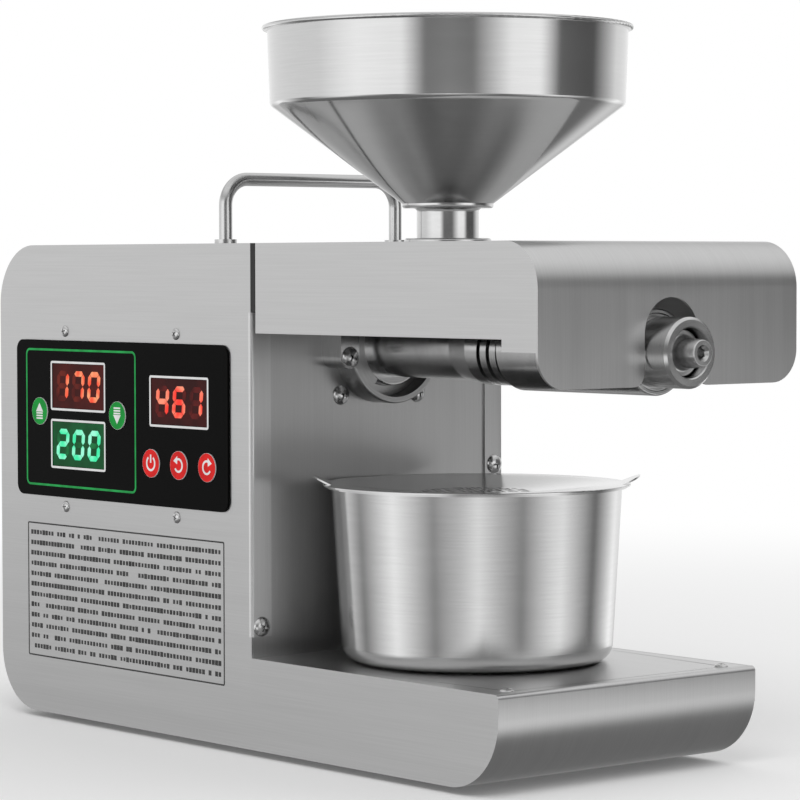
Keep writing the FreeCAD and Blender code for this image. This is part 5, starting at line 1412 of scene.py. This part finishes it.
# ---- dressing of the CAD nodes ------------------------------------------------------------------
SHEET_METAL = MetalFinish("brushed_sheet", STEEL, 0.30, Lay.SHEET, 0.035, 0.05, 0.000003, 0.35)
INNER_METAL = MetalFinish("inner_sheet", grey(0.50), 0.34, Lay.SHEET, 0.03, 0.05, 0.000003, 0.2)
HOPPER_METAL = MetalFinish("spun_hopper", STEEL, 0.14, Lay.UPRIGHT, 0.025, 0.02, 0.0000015, 0.7)
POT_METAL = MetalFinish("spun_pot", STEEL, 0.18, Lay.UPRIGHT, 0.03, 0.03, 0.0000015, 0.7)
BARREL_METAL = MetalFinish("turned_barrel", grey(0.55), 0.22, Lay.LEVEL, 0.08, 0.08, 0.000008, 0.5, 2200.0)
SCREW_METAL = MetalFinish("ground_screw", grey(0.56), 0.24, Lay.LEVEL, 0.08, 0.08, 0.000008, 0.5, 2600.0)
HANDLE_METAL = MetalFinish("drawn_rod", grey(0.56), 0.20, Lay.SANDY, 0.04, 0.06, 0.000006, 0.0)
BOLT_METAL = MetalFinish("bolt_steel", grey(0.58), 0.22, Lay.SANDY, 0.08, 0.10, 0.000008, 0.0, 1800.0)
SEAT_METAL = MetalFinish("machined_seat", grey(0.40), 0.34, Lay.LEVEL, 0.12, 0.14, 0.00003, 0.2, 1500.0)
CAST_METAL = MetalFinish("cast_alloy", grey(0.46), 0.46, Lay.SANDY, 0.12, 0.14, 0.00006, 0.0, 700.0)
GEAR_METAL = MetalFinish("oiled_gear", linear(150, 146, 140), 0.28, Lay.SANDY, 0.12, 0.14, 0.00001, 0.0)
BRONZE_METAL = MetalFinish("bronze_bush", linear(196, 148, 88), 0.30, Lay.SANDY, 0.10, 0.12, 0.00001, 0.0)
PROBE_METAL = MetalFinish("probe_sheath", grey(0.56), 0.26, Lay.SANDY, 0.06, 0.08, 0.000006, 0.0)

PANEL_LACQUER = CoatedFinish("panel_lacquer", grey(0.0015), 0.45, 0.3, 0.10, 0.000004, 700.0, 0.0, 0.04)
DISPLAY_SMOKE = CoatedFinish("display_smoke", grey(0.004), 0.40, 0.3, 0.08, 0.000002, 700.0, 0.0, 0.05)
KEY_PLASTIC = CoatedFinish("key_plastic", grey(0.62), 0.34, 0.05, 0.08, 0.00001)
FOOT_RUBBER = CoatedFinish("foot_rubber", grey(0.018), 0.72, 0.25, 0.14, 0.00006, 1200.0)
GASKET_RUBBER = CoatedFinish("gasket_rubber", grey(0.012), 0.60, 0.25, 0.14, 0.00004, 1200.0)
INLET_PLASTIC = CoatedFinish("inlet_plastic", grey(0.020), 0.42, 0.2, 0.12, 0.00004, 1400.0)
BOARD_LACQUER = CoatedFinish("board_lacquer", linear(22, 84, 46), 0.36, 0.15, 0.10, 0.00002, 600.0)
MOTOR_PAINT = CoatedFinish("motor_paint", grey(0.030), 0.36, 0.15, 0.12, 0.00004, 900.0)
MAGNET_SKIN = CoatedFinish("magnet_skin", grey(0.050), 0.50, 0.2, 0.12, 0.00003, 1000.0)
FAN_PLASTIC = CoatedFinish("fan_plastic", grey(0.045), 0.44, 0.12, 0.10, 0.00002)
HEATER_MICA = CoatedFinish("heater_mica", linear(176, 160, 128), 0.55, 0.15, 0.12, 0.00004, 700.0)

SLOT_FINISHES: dict[str, MetalFinish | CoatedFinish] = {
    "brushed_panel": SHEET_METAL,
    "inner_wall": INNER_METAL,
    "polished_spun": HOPPER_METAL,
    "press_steel": BARREL_METAL,
    "seat_casting": SEAT_METAL,
    "screw_steel": BOLT_METAL,
    "gloss_black": PANEL_LACQUER,
    "display_dark": DISPLAY_SMOKE,
    "key_white": KEY_PLASTIC,
    "black_rubber": GASKET_RUBBER,
    "inlet_plastic": INLET_PLASTIC,
    "board_green": BOARD_LACQUER,
    "die_cast": CAST_METAL,
    "gear_steel": GEAR_METAL,
    "bronze": BRONZE_METAL,
    "motor_paint": MOTOR_PAINT,
    "magnet": MAGNET_SKIN,
    "fan_plastic": FAN_PLASTIC,
    "probe_steel": PROBE_METAL,
    "heater_mica": HEATER_MICA,
}
NODE_FINISHES: dict[str, MetalFinish | CoatedFinish] = {
    "feed_hopper": HOPPER_METAL,
    "oil_pot": POT_METAL,
    "carry_handle": HANDLE_METAL,
    "press_screw": SCREW_METAL,
    "rubber_feet": FOOT_RUBBER,
}
NODE_CENTRES = {"feed_hopper": "feed_hopper", "oil_pot": "oil_pot", "hopper_guard": "feed_hopper",
                "strainer_dish": "oil_pot"}
FOLDED_SHEETS = ("side_panel_left", "side_panel_right", "wrap_sheet", "hood_shell", "base_shell",
                 "tray_plate", "front_wall")


@dataclass
class MetalWork:
    """Finishes of every CAD node that stays, and the rounded edges of the folded sheets.

    Attributes:
        grains: Shared shader groups.
        edge: Radius of the sheets' edges.
        bend: Smallest bend of an edge that is rounded, in degrees.
    """

    grains: GrainGroups
    edge: float = 0.0003
    bend: float = 35.0
    made: dict[tuple, bpy.types.Material] = field(default_factory=dict)

    def middle(self, node: str) -> Vector:
        """Middle of a node's box."""
        low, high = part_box(node)
        return (low + high) / 2.0

    def finish_material(self, finish: MetalFinish | CoatedFinish, centre: Vector) -> bpy.types.Material:
        """Material of a finish, built once for each axis.

        Args:
            finish: The finish.
            centre: Point on the axis of a turned piece.

        Returns:
            The material.
        """
        turned = isinstance(finish, MetalFinish) and finish.lay in (Lay.UPRIGHT, Lay.LEVEL)
        key = (finish.name, tuple(round(v, 4) for v in centre) if turned else None)
        if key not in self.made:
            if isinstance(finish, MetalFinish):
                self.made[key] = finish.material(self.grains, centre)
            else:
                self.made[key] = finish.material(self.grains)
        return self.made[key]

    def dress(self, nodes: dict[str, bpy.types.Object]) -> None:
        """Give every CAD node its material.

        Args:
            nodes: CAD nodes by name.
        """
        press_axis = self.middle("press_screw")
        for name, node in nodes.items():
            slot = node.data.materials[0].name.split(".")[0]
            finish = NODE_FINISHES.get(name) or SLOT_FINISHES[slot]
            centre = self.middle(NODE_CENTRES[name]) if name in NODE_CENTRES else press_axis
            material = self.finish_material(finish, centre)
            for index in range(len(node.data.materials)):
                node.data.materials[index] = material
            log.info("%s: %s", name, finish.name)

    def round_edges(self, nodes: dict[str, bpy.types.Object]) -> None:
        """Round the edges of the folded sheets with live modifiers.

        Args:
            nodes: CAD nodes by name.
        """
        graph = group_tree("merged_sheet", "GeometryNodeTree", [("Sheet", GEOMETRY, None)],
                           [("Sheet", GEOMETRY)])
        bare = graph.node("GeometryNodeRemoveAttribute", {
            "Geometry": graph.source["Sheet"], "Name": "custom_normal"}).outputs[0]
        merged = graph.node("GeometryNodeMergeByDistance", {"Geometry": bare, "Distance": 1e-6}).outputs[0]
        graph.feed(graph.sink["Sheet"], soft_shading(graph, merged, 30.0))
        for name in FOLDED_SHEETS:
            node = nodes[name]
            node.modifiers.new("merge", "NODES").node_group = graph.tree
            bevel = node.modifiers.new("edge", "BEVEL")
            bevel.width = self.edge
            bevel.segments = 2
            bevel.limit_method = "ANGLE"
            bevel.angle_limit = math.radians(self.bend)
            bevel.use_clamp_overlap = True
            bevel.harden_normals = True


# ---- studio -------------------------------------------------------------------------------------
@dataclass(frozen=True)
class Card:
    """Bright or dark card of the light tent, from one bearing to another.

    Attributes:
        start: First bearing in degrees, 0 towards the camera and rising to its right.
        end: Last bearing.
        level: Light that it gives back.
    """

    start: float
    end: float
    level: float


@dataclass(frozen=True)
class SoftLamp:
    """Soft rectangular lamp.

    Attributes:
        name: Name of the lamp.
        place: Where it hangs.
        width: Side of its square.
        power: Power in watts.
    """

    name: str
    place: tuple[float, float, float]
    width: float
    power: float


WHITE_CLOTH = 1.0
STRIP_LIGHT = 1.4
OPEN_ROOM = 0.2
BLACK_FLAG = 0.12

UPPER_CARDS = (
    Card(-180, -90, WHITE_CLOTH), Card(-60, -30, STRIP_LIGHT), Card(-15, 15, OPEN_ROOM),
    Card(40, 60, STRIP_LIGHT), Card(75, 105, BLACK_FLAG), Card(135, 180, WHITE_CLOTH),
)
SKY_STOPS = ((10.0, 0.3), (45.0, 1.0), (90.0, 0.8))


def even_strips(count: int) -> tuple[Card, ...]:
    """Bright strips at even steps round the tent, with dark room between them.

    Args:
        count: Number of strips, an odd one so that one faces the camera.

    Returns:
        Cards in order of bearing, the ends of the turn in the dark.
    """
    half_step = 180.0 / count
    return tuple(Card(-180.0 + index * half_step, -180.0 + index * half_step,
                      STRIP_LIGHT if index % 2 else OPEN_ROOM) for index in range(2 * count + 1))


LOWER_CARDS = even_strips(5)


@dataclass
class Studio:
    """Camera, light tent, lamps and floor.

    Attributes:
        camera_place: Where the camera stands.
        yaw: Turn of the camera from the machine's length, in degrees.
        pitch: Its tilt upwards, in degrees.
        roll: Its lean, in degrees.
        lens: Focal length in millimetres.
        ambient: Level of the tent's light on matt surfaces.
        below: Level that metal mirrors from under the horizon.
        floor_radius: Where the floor has gone over into the backdrop.
        floor_size: Radius of the whole floor.
        paper: Level of the floor's own colour.
        lamps: Soft lamps.
    """

    camera_place: tuple[float, float, float] = (-0.92783, -1.12165, 0.21395)
    yaw: float = 39.896
    pitch: float = -2.391
    roll: float = -0.109
    lens: float = 146.85
    ambient: float = 0.75
    below: float = 0.20
    floor_radius: float = 1.3
    floor_size: float = 6.0
    paper: float = 0.93
    lamps: tuple[SoftLamp, ...] = (
        SoftLamp("key_lamp", (-1.1, -0.9, 1.5), 1.0, 9.0),
        SoftLamp("fill_lamp", (1.3, -0.7, 1.1), 1.2, 5.0),
    )

    def build(self) -> None:
        """Set up the whole studio."""
        self._camera()
        self._world()
        self._floor()
        for lamp in self.lamps:
            self._lamp(lamp)
        bpy.context.scene.view_settings.view_transform = "Standard"

    def _camera(self) -> None:
        """Stand the camera."""
        yaw, pitch, roll = (math.radians(v) for v in (self.yaw, self.pitch, self.roll))
        forward = Vector((math.sin(yaw) * math.cos(pitch), math.cos(yaw) * math.cos(pitch), math.sin(pitch)))
        right = Vector((math.cos(yaw), -math.sin(yaw), 0.0))
        rise = right.cross(forward)
        side = right * math.cos(roll) + rise * math.sin(roll)
        rise = side.cross(forward)
        data = bpy.data.cameras.new("studio_camera")
        data.lens = self.lens
        data.sensor_width = 36.0
        data.clip_end = 100.0
        camera = bpy.data.objects.new("studio_camera", data)
        bpy.context.scene.collection.objects.link(camera)
        matrix = camera.matrix_world.copy()
        for row in range(3):
            matrix[row][0], matrix[row][1], matrix[row][2] = side[row], rise[row], -forward[row]
            matrix[row][3] = self.camera_place[row]
        camera.matrix_world = matrix
        bpy.context.scene.camera = camera

    def _ring(self, graph: Graph, bearing: Socket, cards: tuple[Card, ...]) -> Socket:
        """Ramp round the tent.

        Args:
            graph: Graph of the world.
            bearing: Bearing as a share of the full turn, 0.5 towards the camera.
            cards: Cards in order of bearing.

        Returns:
            Colour socket.
        """
        stops = []
        for card in cards:
            for angle in sorted({card.start, card.end}):
                stops.append((angle / 360.0 + 0.5, card.level))
        return graph.ramp(bearing, stops)

    def _world(self) -> None:
        """Light tent that metal reflects, even light for matt surfaces and a white background."""
        world = bpy.data.worlds.new("light_tent")
        world.use_nodes = True
        bpy.context.scene.world = world
        world.cycles.sampling_method = "NONE"
        graph = Graph(world.node_tree)
        ray = graph.node("ShaderNodeTexCoord").outputs["Generated"]
        yaw = math.radians(self.yaw)
        ahead = graph.vector("DOT_PRODUCT", ray, (-math.sin(yaw), -math.cos(yaw), 0.0), output="Value")
        right = graph.vector("DOT_PRODUCT", ray, (math.cos(yaw), -math.sin(yaw), 0.0), output="Value")
        turn = graph.math("ARCTAN2", right, ahead)
        bearing = graph.math("MULTIPLY_ADD", turn, 0.5 / math.pi, 0.5)
        rise = graph.math("MULTIPLY", graph.math("ARCSINE", graph.separate(ray)[2]), 180.0 / math.pi)
        ring = graph.blend(graph.span(rise, -8.0, -3.0), self._ring(graph, bearing, LOWER_CARDS),
                           self._ring(graph, bearing, UPPER_CARDS))
        sky = graph.ramp(graph.math("DIVIDE", rise, 90.0),
                         [(angle / 90.0, level) for angle, level in SKY_STOPS])
        tent = graph.blend(graph.span(rise, 10.0, 26.0), ring, sky)
        tent = graph.blend(graph.span(rise, -16.0, -32.0), tent, grey(self.below))
        path = graph.node("ShaderNodeLightPath").outputs
        colour = graph.blend(path["Is Glossy Ray"], grey(self.ambient), tent)
        colour = graph.blend(path["Is Camera Ray"], colour, grey(1.0))
        back = graph.node("ShaderNodeBackground", {"Color": colour, "Strength": 1.0})
        graph.node("ShaderNodeOutputWorld", {"Surface": back.outputs[0]})

    def _floor(self) -> None:
        """Pale floor that keeps the shadow and goes over into the white background."""
        shape = bmesh.new()
        bmesh.ops.create_circle(shape, cap_ends=True, radius=self.floor_size, segments=96)
        mesh = bpy.data.meshes.new("studio_floor")
        shape.to_mesh(mesh)
        shape.free()
        floor = new_object("studio_floor", mesh)
        floor.location.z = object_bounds()[0][2]
        floor.visible_glossy = False
        made = bpy.data.materials.new("pale_floor")
        made.use_nodes = True
        graph = Graph(made.node_tree)
        place = graph.node("ShaderNodeTexCoord").outputs["Object"]
        away = graph.vector("LENGTH", place, output="Value")
        paper = graph.node("ShaderNodeBsdfDiffuse", {"Color": grey(self.paper)}).outputs[0]
        light = graph.node("ShaderNodeEmission", {"Color": grey(1.0), "Strength": 1.0}).outputs[0]
        share = graph.span(away, 0.35 * self.floor_radius, self.floor_radius)
        mixed = graph.node("ShaderNodeMixShader", {0: share, 1: paper, 2: light}).outputs[0]
        graph.node("ShaderNodeOutputMaterial", {"Surface": mixed})
        mesh.materials.append(made)
        floor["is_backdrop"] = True

    def _lamp(self, lamp: SoftLamp) -> None:
        """Hang a soft lamp that looks at the press.

        Args:
            lamp: The lamp.
        """
        data = bpy.data.lights.new(lamp.name, "AREA")
        data.shape = "SQUARE"
        data.size = lamp.width
        data.energy = lamp.power
        made = bpy.data.objects.new(lamp.name, data)
        bpy.context.scene.collection.objects.link(made)
        made.location = lamp.place
        low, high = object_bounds()
        aim = (Vector(low) + Vector(high)) / 2.0
        made.rotation_euler = (aim - Vector(lamp.place)).to_track_quat("-Z", "Y").to_euler()
        made.visible_glossy = False


def main() -> None:
    """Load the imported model, dress it and set up the studio."""
    logging.basicConfig(level=logging.INFO, format="%(name)s %(message)s")
    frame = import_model()
    grains = GrainGroups()
    work = MetalWork(grains)
    work.dress(frame["nodes"])
    Screws().build(work.finish_material(BOLT_METAL, Vector()))
    Strainer().build(work.finish_material(POT_METAL, work.middle("oil_pot")), work.middle("oil_pot"))
    panel = ControlPanel()
    panel.build()
    NoticePlate().build(panel.printed["ink"])
    work.round_edges(frame["nodes"])
    Studio().build()


if __name__ == "__main__":
    main()
